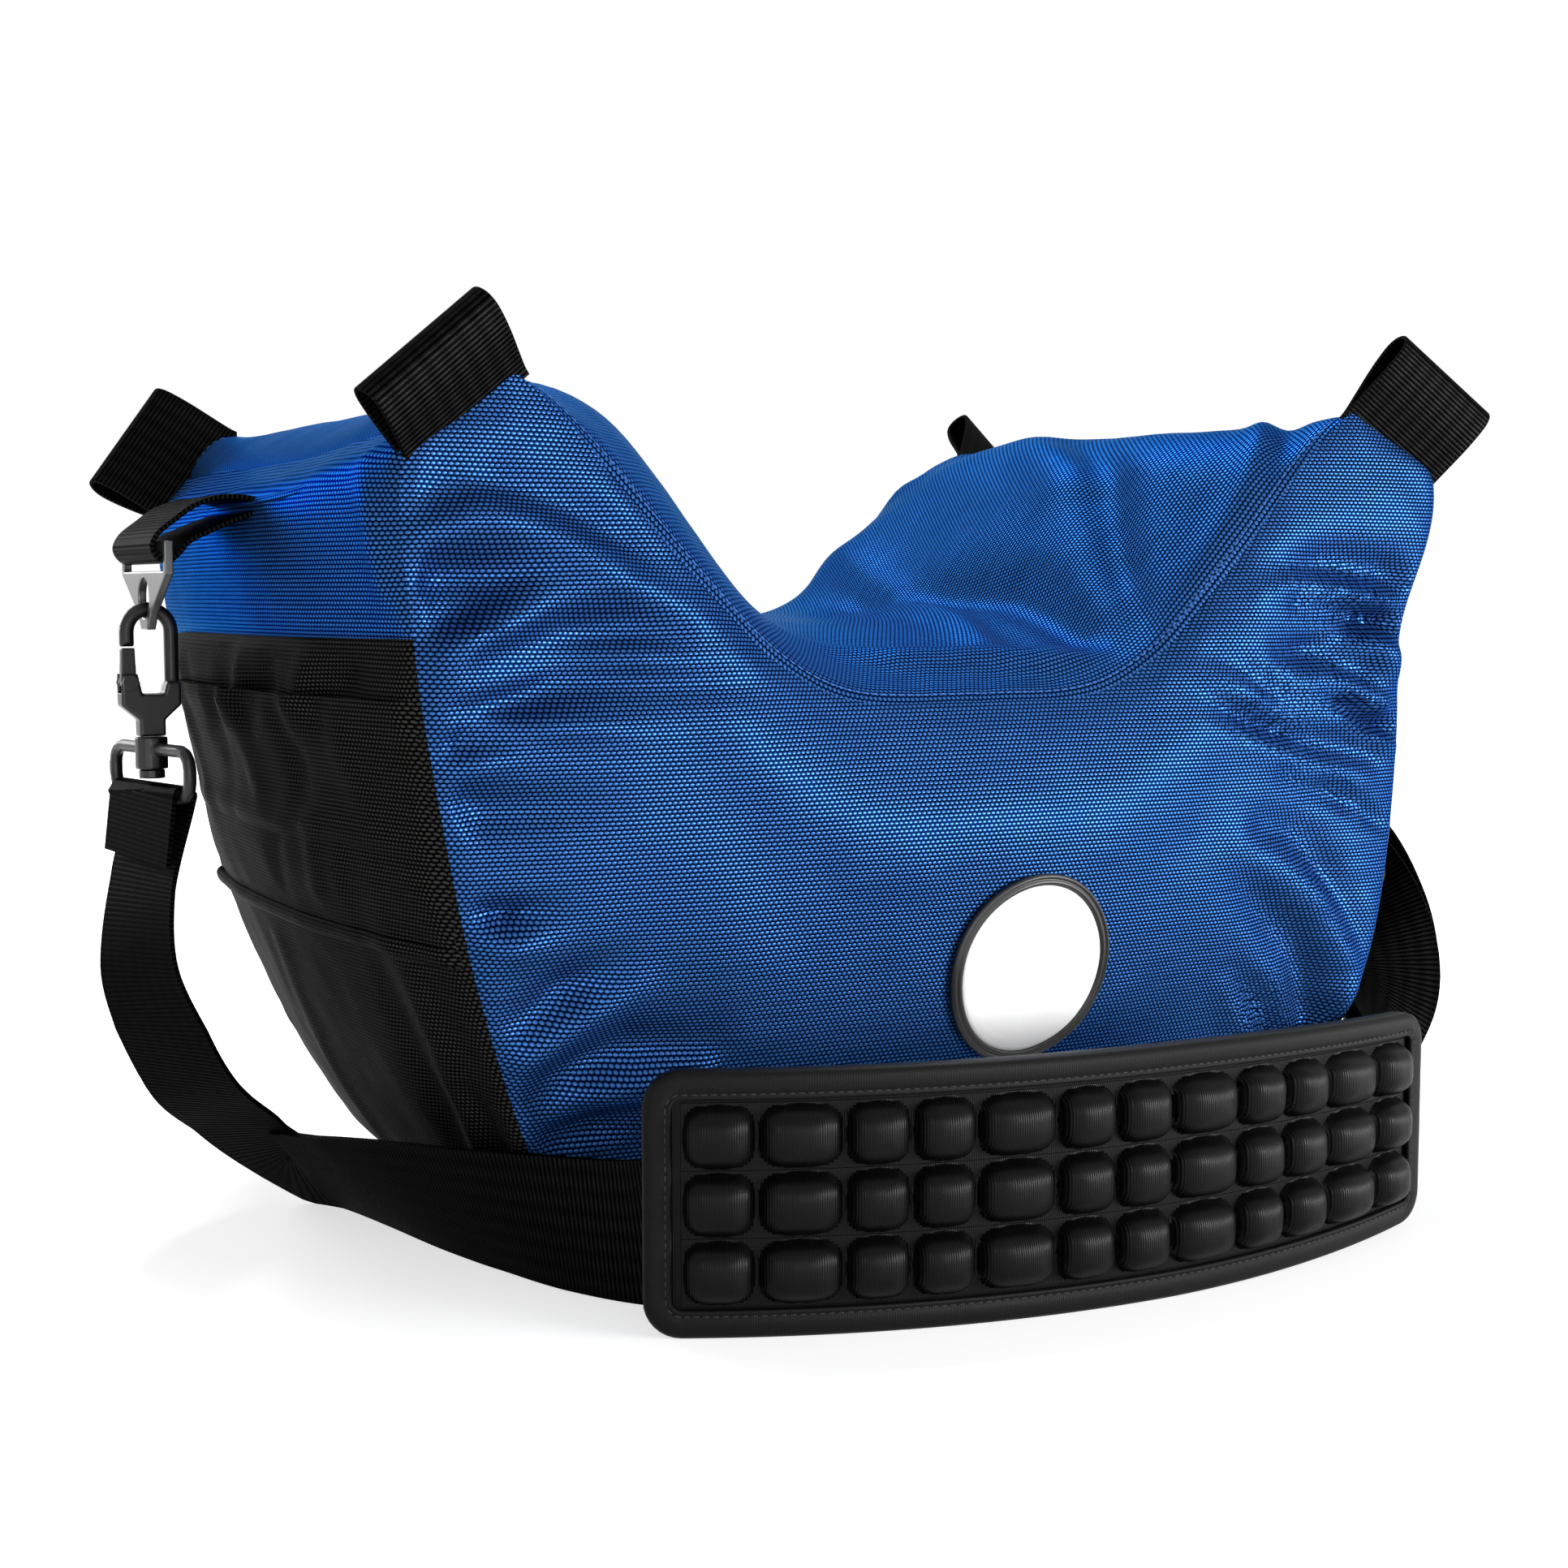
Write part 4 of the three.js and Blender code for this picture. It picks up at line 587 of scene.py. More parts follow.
# ---------------------------------------------------------------- saddle panel
# One strip of nylon over both lobes and through the valley between them, where a lens lies. A fold runs
# along the valley just behind the front seam, and soft creases cross the slopes.
SADDLE_ACROSS, SADDLE_DEPTH = 96, 131
SADDLE_FOLDS = [
    (11, [(154, 48, 1.5), (128, 0, 3), (105, -48, 2.5)]),
    (9, [(136, -12, -2), (122, -46, -5), (108, -75, -5), (95, -96, -2)]),
    (7, [(103, -69, -2), (90, -105, -4), (83, -127, -3)]),
    (9, [(45, 10, -2), (57, -30, -5), (66, -65, -7), (66, -104, -6), (70, -124, -2)]),
    (8, [(-60, -95, 1), (-20, -104, 4), (20, -106, 5), (45, -112, 5), (64, -118, 3)]),
    (8, [(71, 80, 2), (60, 40, 3), (52, -3, 4), (40, -60, 4), (30, -92, 3)]),
    (7, [(118, 120, 1.5), (117, 74, 2)]),
    (7, [(160, 101, 2), (140, 90, 2), (112, 85, 1)]),
    (7, [(178, -100, -1.5), (166, -112, -3), (154, -127, -3)]),
    (6, [(168, -96, 2.5), (150, -112, 3), (134, -122, 3), (112, -125, 2)]),
    (9, [(-100, -60, 1.5), (-125, -20, 2.5), (-150, 30, 1.5)]),
    (8, [(-80, -90, -2), (-110, -70, -3), (-140, -50, -1.5)]),
    (10, [(-50, 30, -3), (-60, 70, -4), (-62, 110, -2)]),
    (9, [(-20, 90, 2), (20, 100, 3), (60, 104, 1.5)]),
]
saddle_points, saddle_a, saddle_b = saddle_grid(SADDLE_ACROSS)
saddle_x, saddle_y = saddle_points[..., 0], saddle_points[..., 1]
saddle_normals = outward_normals(saddle_points, 1)
from_seam = SADDLE_DEPTH * (1 - np.abs(saddle_b))
saddle_lift = 1.4 * soft_noise(saddle_points, 50, 51.1) + 0.4 * soft_noise(saddle_points, 18, 57.1)
for width, points in SADDLE_FOLDS:
    saddle_lift += 1.1 * stroke(saddle_x, saddle_y, width, points)
saddle_lift += 0.9 * gather(saddle_points, saddle_x, from_seam, 10, 61.1)
end_edge = (1 - np.abs(saddle_a)) * CREST_HALF
saddle_edge = np.minimum(from_seam, end_edge)
saddle_lift = saddle_lift * clear_of(saddle_edge) + swell(saddle_edge)
saddle_points = saddle_points + saddle_normals * saddle_lift[..., None]
seam_run = np.concatenate([[0], np.cumsum(np.hypot(np.diff(column_x), np.diff(column_z)))])
saddle_u = seam_run[:, None] * np.ones_like(saddle_b)
saddle_skin = skin_mesh("saddle_skin", saddle_points, saddle_u, saddle_y, SKIN_THICK, False)
finish_piece(saddle_skin, blue_nylon, "bag", ["saddle_panel"])

# ---------------------------------------------------------------- base
# A black nylon panel that the bag stands on. Its middle is flat on the ground, and its rim turns up to the
# base seam.
base_points = bottom_grid(48)
base_skin = skin_mesh("base_skin", base_points, base_points[..., 0], base_points[..., 1], SKIN_THICK, True)
finish_piece(base_skin, black_nylon, "bag", ["bottom_panel", "bean_filling"])

# ---------------------------------------------------------------- end panels
# Each end is blue nylon above the shoulder seam and black nylon below it. Soft upright folds hang in the
# black part, where the pockets pull on it.
ENDS = [("left", -1), ("right", 1)]
END_ACROSS, END_UPPER_ROWS, END_LOWER_ROWS, END_DEPTH = 88, 34, 86, 130
END_FOLDS = [
    (7, [(6, 212, -1.5), (20, 200, -2), (35, 180, -1)]),
    (8, [(-40, 213, -2), (-30, 200, -4), (-12, 188, -3)]),
    (6, [(-10, 212, 1.5), (-4, 200, 2.5), (8, 186, 2)]),
    (9, [(-106, 214, -2), (-92, 204, -4), (-76, 194, -3)]),
    (7, [(-70, 214, 1.5), (-60, 200, 3), (-52, 188, 2)]),
    (6, [(-112, 266, 1.5), (-120, 250, 3.5), (-122, 232, 3)]),
    (8, [(-50, 150, 1.5), (-48, 128, 2), (-60, 120, 1)]),
    (9, [(-90, 112, 1.5), (-92, 80, 3), (-84, 40, 3)]),
    (10, [(-70, 100, -1.5), (-72, 60, -3), (-66, 30, -3)]),
    (9, [(-100, 60, -2), (-96, 36, -4), (-88, 18, -4)]),
    (9, [(30, 100, 1), (34, 60, 2), (30, 24, 2)]),
    (8, [(90, 200, 2), (80, 180, 2), (76, 150, 1)]),
]


def end_lift(grid, b, side, height):
    """How far the cloth of an end stands off the smooth form: folds, puckers and the swell at its seams."""
    y, z = grid[..., 1], grid[..., 2]
    from_side = (1 - np.abs(b)) * END_DEPTH
    creases = 1.1 * soft_noise(grid, 42, 71.1 + side) + 0.35 * soft_noise(grid, 16, 76.1 + side)
    for width, points in END_FOLDS:
        creases += 0.9 * stroke(y * (1 if side < 0 else -1), height, width, points)
    creases += 1.2 * gather(grid, z, from_side, 10, 74.1 + side)
    edge = np.minimum(np.minimum(from_side, height - BASE_SEAM_Z), np.abs(height - SHOULDER_Z))
    return creases * clear_of(edge) + swell(edge, 2.4)


def dressed_end(side, low, high, rows):
    """Points of an end between two heights with its folds, and its flat pattern."""
    grid, b, c = end_grid(END_ACROSS, low, high, rows, side)
    normals = outward_normals(grid, side)
    lift = end_lift(grid, b, side, BASE_SEAM_Z + c * (CORNER_Z - BASE_SEAM_Z))
    return grid + normals * lift[..., None], grid[..., 1], grid[..., 2]


for name, side in ENDS:
    upper, u, v = dressed_end(side, SHOULDER_Z, CORNER_Z, END_UPPER_ROWS)
    panel = skin_mesh(f"{name}_end_upper_skin", upper, u, v, SKIN_THICK, side < 0)
    finish_piece(panel, blue_nylon, "bag", [f"{name}_end_upper_panel"])
    lower, u, v = dressed_end(side, BASE_SEAM_Z, SHOULDER_Z, END_LOWER_ROWS)
    panel = skin_mesh(f"{name}_end_lower_skin", lower, u, v, SKIN_THICK, side < 0)
    finish_piece(panel, black_nylon, "bag", [f"{name}_end_lower_panel"])

# ---------------------------------------------------------------- flaps, pockets and rolled seams of the ends
# A blue flap with a corded hem covers the root of the tab. Below it each end has an open black pocket with
# a turned hem, a second band that overlaps its foot, and a rolled seam under both.


def end_point(side, b, z, out):
    """A point over the smooth end at a share of its depth and a height."""
    squeeze = (CORNER_Z - SHOULDER_Z - END_TOP_SAG * hump(b)) / (CORNER_Z - SHOULDER_Z)
    edge = np.where(z < SHOULDER_Z, z, SHOULDER_Z + (z - SHOULDER_Z) / squeeze)
    c = (edge - BASE_SEAM_Z) / (CORNER_Z - BASE_SEAM_Z)
    x = half_length(edge) + hump(b) * end_bulge(c) + out
    return settled(places(side * x, b * half_depth(edge), z))


def trim_sheet(name, side, across, up, out, thick, node):
    """A black sheet laid over an end: shares across, heights up, and how far it stands out."""
    b, z = np.meshgrid(across, up, indexing="ij")
    smooth = end_point(side, b, z, 0)
    tuck = np.clip((TRIM_EDGE - np.abs(b)) / 0.03, 0, 1)
    grid = smooth + (end_lift(smooth, b, side, z) + out(b, z) * tuck)[..., None] * np.array([side, 0, 0])
    piece = skin_mesh(name, grid, grid[..., 1], grid[..., 2], thick, side < 0)
    return finish_piece(piece, black_nylon, "bag", [node])


POCKET_FOOT, POCKET_HEM, POCKET_BACK = 146, 196, 0.75
BAND_FOOT, BAND_TOP = 118, 153
ROLL_FOOT, ROLL_TOP = 111, 118
TRIM_EDGE = 0.985


def pocket_bow(b):
    """How free the pocket's cloth hangs: 0 where it is sewn at its sides, 1 between."""
    return np.clip(1 - ((b + 0.11) / 0.86) ** 2, 0, 1)


def pocket_out(b, z):
    """How far the pocket stands out: more towards its open hem, with its own folds."""
    up = (z - POCKET_FOOT) / (POCKET_HEM - POCKET_FOOT)
    bow = pocket_bow(b)
    hem = 0.8 * np.exp(-(((z - POCKET_HEM + 4) / 4) ** 2))
    sag = 2.6 * np.exp(-(((z - POCKET_FOOT - 5) / 6) ** 2))
    folds = stroke(b * END_DEPTH, z, 8, [(-40, 196, -2.4), (-52, 172, -1.8), (-46, 152, -1)])
    folds += stroke(b * END_DEPTH, z, 9, [(-84, 192, 1.6), (-90, 168, 2.2), (-104, 150, 1)])
    folds += stroke(b * END_DEPTH, z, 8, [(30, 194, -1.8), (22, 170, -1.4), (30, 150, -0.8)])
    folds += stroke(b * END_DEPTH, z, 10, [(0, 190, 1.5), (-8, 166, 1.6)])
    return 1.4 + bow * (3.4 * up + folds) + hem + sag * (0.4 + 0.6 * bow)


def band_out(b, z):
    """How far the band stands out."""
    bow = pocket_bow(b)
    middle = 1.6 * np.sin(np.pi * np.clip((z - BAND_FOOT) / (BAND_TOP - BAND_FOOT), 0, 1))
    folds = stroke(b * END_DEPTH, z, 7, [(-70, 150, 1.2), (-64, 132, 1.4)])
    folds += stroke(b * END_DEPTH, z, 7, [(-20, 148, -1), (-12, 130, -1.2)])
    return 1.2 + middle + bow * (0.6 + folds)


def roll_out(b, z):
    """How far the rolled seam stands out."""
    return 1 + 2.2 * np.sqrt(np.clip(1 - ((z - (ROLL_FOOT + ROLL_TOP) / 2) / 3.4) ** 2, 0, 1))


FLAP_TOP = [(-9, 1.4), (-6, 1.5), (-3, 1.4), (0.7, 0.9)]  # distance out from the edge, and rise
FLAP_HEM = [  # drop from the edge, and how far it stands out
    (2, 1.5), (5, 1.6), (8, 1.5), (10, 1.8), (11.2, 2.8), (12.2, 3.3), (13.2, 2.9), (13.7, 1.9),
]


def flap_grid(side):
    """The flap: over the edge of the lobe, down the end, and round a corded hem."""
    b = np.linspace(-0.86, 0.86, 64)
    top = CORNER_Z - END_TOP_SAG * hump(b)
    edge = end_point(side, b, top, 0)
    rows = [edge + np.array([side * out, 0, rise]) for out, rise in FLAP_TOP]
    for drop, out in FLAP_HEM:
        wave = 0.5 * np.sin(b * 9 + drop * 0.1)
        rows.append(end_point(side, b, top - drop + wave, out))
    return np.stack(rows, axis=1), b


TRIMS = [  # piece, solid, back edge, foot, top, rows of points, how far out, thickness
    ("pocket", "pocket", POCKET_BACK, POCKET_FOOT, POCKET_HEM, 40, pocket_out, 1.4),
    ("band", "pocket_band", POCKET_BACK, BAND_FOOT, BAND_TOP, 24, band_out, 1.2),
    ("rolled_seam", "rolled_seam", TRIM_EDGE, ROLL_FOOT, ROLL_TOP, 12, roll_out, 1.2),
]
for name, side in ENDS:
    for piece, node, back, foot, top, rows, out, thick in TRIMS:
        across, up = np.linspace(-TRIM_EDGE, back, 72), np.linspace(foot, top, rows)
        trim_sheet(f"{name}_{piece}_skin", side, across, up, out, thick, f"{name}_{node}")
    flap_points, flap_b = flap_grid(side)
    flap_steps = np.linalg.norm(np.diff(flap_points, axis=1), axis=2)
    flap_v = np.concatenate([np.zeros((len(flap_b), 1)), np.cumsum(flap_steps, axis=1)], axis=1)
    flap = skin_mesh(f"{name}_flap_skin", flap_points, flap_points[..., 1], flap_v, 1.1, side > 0)
    finish_piece(flap, blue_nylon, "bag", [f"{name}_seam_flap"])

# ---------------------------------------------------------------- webbing loops and tabs
# Black 50 mm webbing, folded once. Four loops are sewn into the cut corners of the lobes, and a tab on each
# end holds the ring. The cloth is ribbed across its width.
WEBBING_WIDTH, WEBBING_THICK = 50, 1.7


def noise_socket(tree, place, scale, detail):
    """Noise over a place socket."""
    grain = tree.nodes.new("ShaderNodeTexNoise")
    dial(grain.inputs, {"Scale": scale, "Detail": detail})
    tree.links.new(place, grain.inputs["Vector"])
    return grain.outputs["Fac"]


def ribbed(name, dark, light, rib, roughness, strength, haze=0.02, shine=0, glance=1):
    """Webbing: fine ribs across its width, with faint bands along it. The colour paints each rib's crest
    lighter and its trough darker, as painted highlight and painted shade. Both tones and the glance are
    greys.
    """
    tape, tree, shader = surface(name)
    along, up = pattern_sockets(tree)
    turns = math_node(tree, "MULTIPLY", along, 2 * math.pi / (rib * MM))
    wave = math_node(tree, "MULTIPLY_ADD", math_node(tree, "SINE", turns), 0.5, 0.5)
    grain = noise_socket(tree, tree.nodes.new("ShaderNodeUVMap").outputs["UV"], 1400, 2)
    bands = math_node(tree, "SINE", math_node(tree, "MULTIPLY", up, 900))
    band = math_node(tree, "MULTIPLY", math_node(tree, "MULTIPLY_ADD", bands, 0.12, 0.5), 2.4)
    # The ribs' wave in the colour is painted highlight on the crests and painted shade in the troughs; the
    # grain and the bands are the tape's own tone.
    painted_rib_light_grain_bands = math_node(tree, "MULTIPLY", math_node(tree, "MULTIPLY", wave, grain), band, clamp=True)
    two_tone(tree, shader, (dark,) * 3, (light,) * 3, painted_rib_light_grain_bands)
    raise_surface(tree, shader, wave, strength, 0.25)
    dial(shader, {"Roughness": roughness, "Specular IOR Level": haze, "Metallic": shine})
    shader["Specular Tint"].default_value = (glance, glance, glance, 1)
    return tape


# The dark tone is painted shade in the rib troughs, and the light tone is painted highlight on the crests.
webbing = ribbed("webbing", 0.0006, 0.014, 1.67, 0.42, 0.7, shine=0.7, glance=0.06)


def run_along(line):
    """Distance along a line at each of its points."""
    return np.concatenate([[0], np.cumsum(np.linalg.norm(np.diff(line, axis=0), axis=1))])


def smooth_line(points, steps):
    """Points on one smooth line through chosen points."""
    points = np.array(points, float)
    knots = np.concatenate([[0], np.cumsum(np.sqrt(np.linalg.norm(np.diff(points, axis=0), axis=1)))])
    at = np.interp(np.linspace(0, len(points) - 1, steps), np.arange(len(points)), knots)
    return np.stack([through(list(zip(knots, points[:, k])))(at) for k in range(points.shape[1])], axis=-1)


def ribbon(name, middle, across, half, thick, strips=9):
    """Flat webbing with its middle along a line and its width along a direction at each point."""
    v = np.linspace(-1, 1, strips)
    grid = middle[:, None, :] + across[:, None, :] * (v * half)[None, :, None]
    run = run_along(middle)
    flat_u = run[:, None] * np.ones(strips)[None, :]
    flat_v = np.ones(len(middle))[:, None] * (v * half)[None, :]
    piece = skin_mesh(name, grid, flat_u, flat_v, thick, False, offset=0)
    shaped(piece, "BEVEL", width=0.35 * MM, segments=2, limit_method="ANGLE", angle_limit=math.radians(50))
    return piece, run[-1]


LOOP_PROFILE = [  # distance out from the seam and to the side
    (-4, -0.9), (0, -0.9), (8, -2.6), (17, -4.6), (24.5, -5.6), (30.5, -5.5), (34, -3.6), (35.3, 0),
    (34, 3.6), (30.5, 5.5), (24.5, 5.6), (17, 4.6), (8, 2.6), (0, 0.9), (-4, 0.9),
]
LOOPS = [  # name, corner, lean, share of the full length and shift to the right
    ("front_left", -1, -1, (-0.6, -0.3, 0.74), 0.82, 3),
    ("back_left", -1, 1, (-0.78, 0.47, 0.42), 0.95, 0),
    ("front_right", 1, -1, (0.53, -0.32, 0.79), 1, 0),
    ("back_right", 1, 1, (0.73, 0.65, 0.2), 1, 0),
]
HORN_DEPTH = 129
for name, sx, sy, lean, reach, nudge in LOOPS:
    y = sy * HORN_DEPTH
    crest, horn = settled(np.array([[sx * CREST_HALF, y, CREST_Z], [sx * HORN_HALF, y, HORN_Z]]))
    along = Vector(horn - crest).normalized()
    direction = Vector(lean)
    direction = (direction - along * direction.dot(along)).normalized()
    sideways = along.cross(direction)
    root = (crest + horn) / 2 - np.array(direction) * 1.5 + np.array([nudge, 0, 0])
    profile = smooth_line(LOOP_PROFILE, 72)
    outward, aside = profile[:, :1] * reach * np.array(direction), profile[:, 1:] * np.array(sideways)
    middle = root[None, :] + outward + aside
    width_way = np.tile(np.array(along), (len(middle), 1))
    loop, _ = ribbon(f"loop_{name}", middle, width_way, WEBBING_WIDTH / 2, WEBBING_THICK)
    finish_piece(loop, webbing, "bag", [f"corner_loop_{name}"])

TAB_PROFILE = [  # distance out and height of the tab, round the ring's bar
    (222, 260.5), (229, 262), (238, 262), (247, 259), (254, 254), (259.5, 249.5), (261.6, 245),
    (259.5, 241.2),
    (256, 240.4), (252.6, 243), (249, 247), (242, 250.5), (234, 254), (226, 257), (221, 258.4),
]
for name, side in ENDS:
    profile = smooth_line(TAB_PROFILE, 80)
    middle = places(side * profile[:, 0], 0, profile[:, 1])
    width_way = np.tile(np.array([0.0, 1.0, 0.0]), (len(middle), 1))
    tab, _ = ribbon(f"tab_{name}", middle, width_way, WEBBING_WIDTH / 2, WEBBING_THICK)
    finish_piece(tab, webbing, "bag", [f"{name}_anchor_tab"])

# ---------------------------------------------------------------- rings, snap hooks and swivels
# A stamped steel ring hangs in each tab. The strap's swivel snap hooks are cast, with a sprung gate on a
# rivet, and a rectangular loop turns on the post under each hook. All but the rings are black.


def coated(name, colour, metallic, roughness, wear):
    """Metal with a slightly uneven coat."""
    metal, tree, shader = surface(name)
    spots = noise_socket(tree, tree.nodes.new("ShaderNodeTexCoord").outputs["Object"], 220, 4)
    two_tone(tree, shader, colour, [min(1, c * (1 + wear)) for c in colour], spots)
    gloss = math_node(tree, "MULTIPLY_ADD", spots, 0.2, roughness - 0.1)
    tree.links.new(gloss, shader["Roughness"])
    raise_surface(tree, shader, spots, 0.15, 0.1)
    shader["Metallic"].default_value = metallic
    return metal


black_metal = coated("black_metal", (0.004, 0.004, 0.004), 0.3, 0.4, 0.6)
ring_steel = coated("ring_steel", (0.11, 0.11, 0.113), 0.85, 0.36, 0.25)


def cast_copy(name, node, voxel, rounds, body, material=black_metal):
    """A smooth casting made from a faceted part, with its edges rounded as a mould leaves them."""
    bpy.ops.object.select_all(action="DESELECT")
    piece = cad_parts[node].copy()
    piece.data = piece.data.copy()
    for key in list(piece.keys()):
        del piece[key]
    piece.parent = None
    piece.name = piece.data.name = name
    bpy.context.collection.objects.link(piece)
    bpy.context.view_layer.objects.active = piece
    piece.select_set(True)
    merged = bmesh.new()
    merged.from_mesh(piece.data)
    bmesh.ops.remove_doubles(merged, verts=merged.verts, dist=0.002 * MM)
    merged.to_mesh(piece.data)
    merged.free()
    shaped(piece, "REMESH", mode="VOXEL", voxel_size=voxel * MM)
    shaped(piece, "SMOOTH", factor=0.5, iterations=rounds)
    piece.data.shade_smooth()
    return finish_piece(piece, material, body, [node])


for name, _ in ENDS:
    cast_copy(f"{name}_ring", f"{name}_anchor_ring", 0.4, 4, "bag", ring_steel)
    cast_copy(f"{name}_hook", f"{name}_hook_body", 0.35, 8, f"{name}_hook")
    cast_copy(f"{name}_gate_finger", f"{name}_hook_gate", 0.3, 4, f"{name}_gate")
    cast_copy(f"{name}_rivet", f"{name}_gate_rivet", 0.2, 4, f"{name}_hook")
    cast_copy(f"{name}_post", f"{name}_swivel_post", 0.25, 5, f"{name}_hook")
    cast_copy(f"{name}_strap_loop", f"{name}_swivel_loop", 0.35, 10, "strap")
    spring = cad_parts[f"{name}_gate_spring"].data
    spring.materials.clear()
    spring.materials.append(black_metal)

# ---------------------------------------------------------------- shoulder strap
# One length of 48 mm webbing from the left loop, round the front of the bag on its edge, to the right loop,
# where it turns back on itself. The doubled end runs down inside it to a slide behind the pad.
ARC_X, ARC_Y, STRAP_R, STRAP_LOW, STRAP_HALF, LAYER = 33, 131, 350, 10, 24, 4
LOOP_BAR_X, LOOP_BAR_Z, LOOP_YAW, WRAP_R = 257, 160, math.radians(11), 3.65


def arc_point(r, degrees, z):
    """A point on a circle round the arc's centre, with 0 degrees at the front."""
    angle = math.radians(degrees)
    return np.array([ARC_X + r * math.sin(angle), ARC_Y - r * math.cos(angle), z])


def from_edges(low, high):
    """A station of the webbing from its two edges: its middle and its width's direction."""
    low, high = np.array(low, float), np.array(high, float)
    return (low + high) / 2, (high - low) / np.linalg.norm(high - low)


def wrap_stations(x, yaw, start, end, steps):
    """Stations of the webbing round a loop's bar."""
    stations = []
    for k in range(steps + 1):
        angle = start + (end - start) * k / steps
        out = WRAP_R * math.cos(angle)
        at = np.array([x + out * math.cos(yaw), out * math.sin(yaw), LOOP_BAR_Z + WRAP_R * math.sin(angle)])
        stations.append((at, np.array([math.sin(yaw), -math.cos(yaw), 0.0])))
    return stations


def arc_station(r, degrees, low):
    return arc_point(r, degrees, low + STRAP_HALF), np.array([0.0, 0.0, 1.0])


bar_way = np.array([math.sin(LOOP_YAW), -math.cos(LOOP_YAW), 0.0])
left_end = [(np.array([-LOOP_BAR_X - WRAP_R - 2.4, 0, LOOP_BAR_Z - 22.0]), bar_way)]
left_fall = [
    from_edges((-266, 24, 128), (-257, -24, 129)),
    from_edges((-271, 21, 96), (-257, -26, 104)),
    from_edges((-266, 20, 73), (-248, -26, 82)),
    from_edges((-251, 25, 47), (-237, -20, 61)),
    from_edges((-229, 33, 27), (-223, -10, 45)),
    from_edges((-207, 34, 8), (-210, -6, 34)),
    from_edges((-187, 8, 0.6), (-218, 0, 34)),
    from_edges((-181, -22, 0.6), (-209, -28, 37)),
    from_edges((-175, -56, 0.6), (-197, -62, 42)),
    from_edges((-166, -92, 0.6), (-181, -99, 46)),
    from_edges((-157, -120, 0.6), (-165, -125, 47.6)),
    from_edges((-143, -149, 1.5), (-146, -151, 49.3)),
]
behind_pad = [arc_station(STRAP_R - 1, -28, 7.5)]
BEHIND = (-25, -20, -15, -10, -5, 0, 5, 10, 15, 17.5, 19.5)
behind_pad += [arc_station(STRAP_R, degrees, STRAP_LOW) for degrees in BEHIND]
BAR = LOOP_BAR_X
right_rise = [
    from_edges((172, -166, 12), (168, -163, 60)),
    from_edges((199, -139, 15), (191, -131, 62)),
    from_edges((BAR - 30, -119, 21), (BAR - 43, -105, 65)),
    from_edges((BAR - 5, -107, 31), (BAR - 22, -82, 69)),
    from_edges((BAR + 9, -101, 50), (BAR - 6, -64, 77)),
    from_edges((BAR + 13, -88, 76), (BAR + 4, -45, 96)),
    from_edges((BAR + 12, -68, 104), (BAR + 8, -22, 115)),
    from_edges((BAR + 6, -41, 129), (BAR + 5, 7, 131)),
    from_edges((BAR - 1, -25, 146), (BAR - 1, 23, 146)),
]


def strap_ribbon(name, stations, per_station):
    """Webbing through stations, lifted where it would sink into the ground."""
    steps = (len(stations) - 1) * per_station + 1
    middle = smooth_line([at for at, across in stations], steps)
    place = np.linspace(0, len(stations) - 1, steps)
    turns = np.array([across for at, across in stations])
    across = np.stack([np.interp(place, np.arange(len(stations)), turns[:, k]) for k in range(3)], axis=-1)
    tangent = np.gradient(middle, axis=0)
    tangent /= np.linalg.norm(tangent, axis=1, keepdims=True)
    across -= tangent * np.sum(across * tangent, axis=1, keepdims=True)
    across /= np.linalg.norm(across, axis=1, keepdims=True)
    normal = np.cross(tangent, across)
    lowest = middle[:, 2] - STRAP_HALF * np.abs(across[:, 2]) - WEBBING_THICK / 2 * np.abs(normal[:, 2])
    middle[:, 2] += np.maximum(0, 0.3 - lowest)
    return ribbon(name, middle, across, STRAP_HALF, WEBBING_THICK)


strap_stations = left_end + wrap_stations(-LOOP_BAR_X, LOOP_YAW, math.pi, 0, 6) + left_fall
strap_stations += behind_pad + right_rise
strap_stations += wrap_stations(LOOP_BAR_X, math.pi, 0, math.pi, 6)[:6]
strap, strap_length = strap_ribbon("strap", strap_stations, 8)
finish_piece(strap, webbing, "strap", ["strap_webbing"])

tail_stations = [arc_station(STRAP_R - LAYER, degrees, STRAP_LOW) for degrees in (9, 12, 15, 17.5, 19.5)]
for i, (at, across) in enumerate(right_rise):
    ahead = right_rise[i + 1][0] if i + 1 < len(right_rise) else np.array([LOOP_BAR_X, 0, LOOP_BAR_Z])
    forward = (ahead - at) / np.linalg.norm(ahead - at)
    inwards = -np.cross(forward, across)
    inwards /= np.linalg.norm(inwards)
    tail_stations.append((at + inwards * (LAYER + i * 0.7), across))
tail_stations.append((np.array([LOOP_BAR_X + WRAP_R, 0, LOOP_BAR_Z - 3.0]), np.array([0.0, 1.0, 0.0])))
tail, tail_length = strap_ribbon("strap_doubled_end", tail_stations, 8)
finish_piece(tail, webbing, "strap", ["strap_tail"])

cast_copy("slide_frame", "strap_slide", 0.4, 3, "slide")

# ---------------------------------------------------------------- shoulder pad
# A bowed foam plate bound with tape. Three rows of twelve air cells are moulded into its face, under black
# stretch knit, and a channel on its back lets it slide along the strap.
PAD_FROM, PAD_TO, PAD_HEIGHT, PAD_CORNER = -31.9, 17.2, 84, 12
PAD_BACK, PAD_BASE_THICK, BINDING, BINDING_THICK = 353.5, 5, 9, 2
PAD_FRONT = PAD_BACK + PAD_BASE_THICK
PAD_MEAN_R = (PAD_BACK + PAD_FRONT) / 2
PAD_MIDDLE = (PAD_TO + PAD_FROM) / 2
PAD_LENGTH = math.radians(PAD_TO - PAD_FROM) * PAD_MEAN_R
CELL_RISE = 8
CELL_WIDTHS = [23, 27, 21, 21, 27, 21, 21, 27, 21, 21, 27, 23]


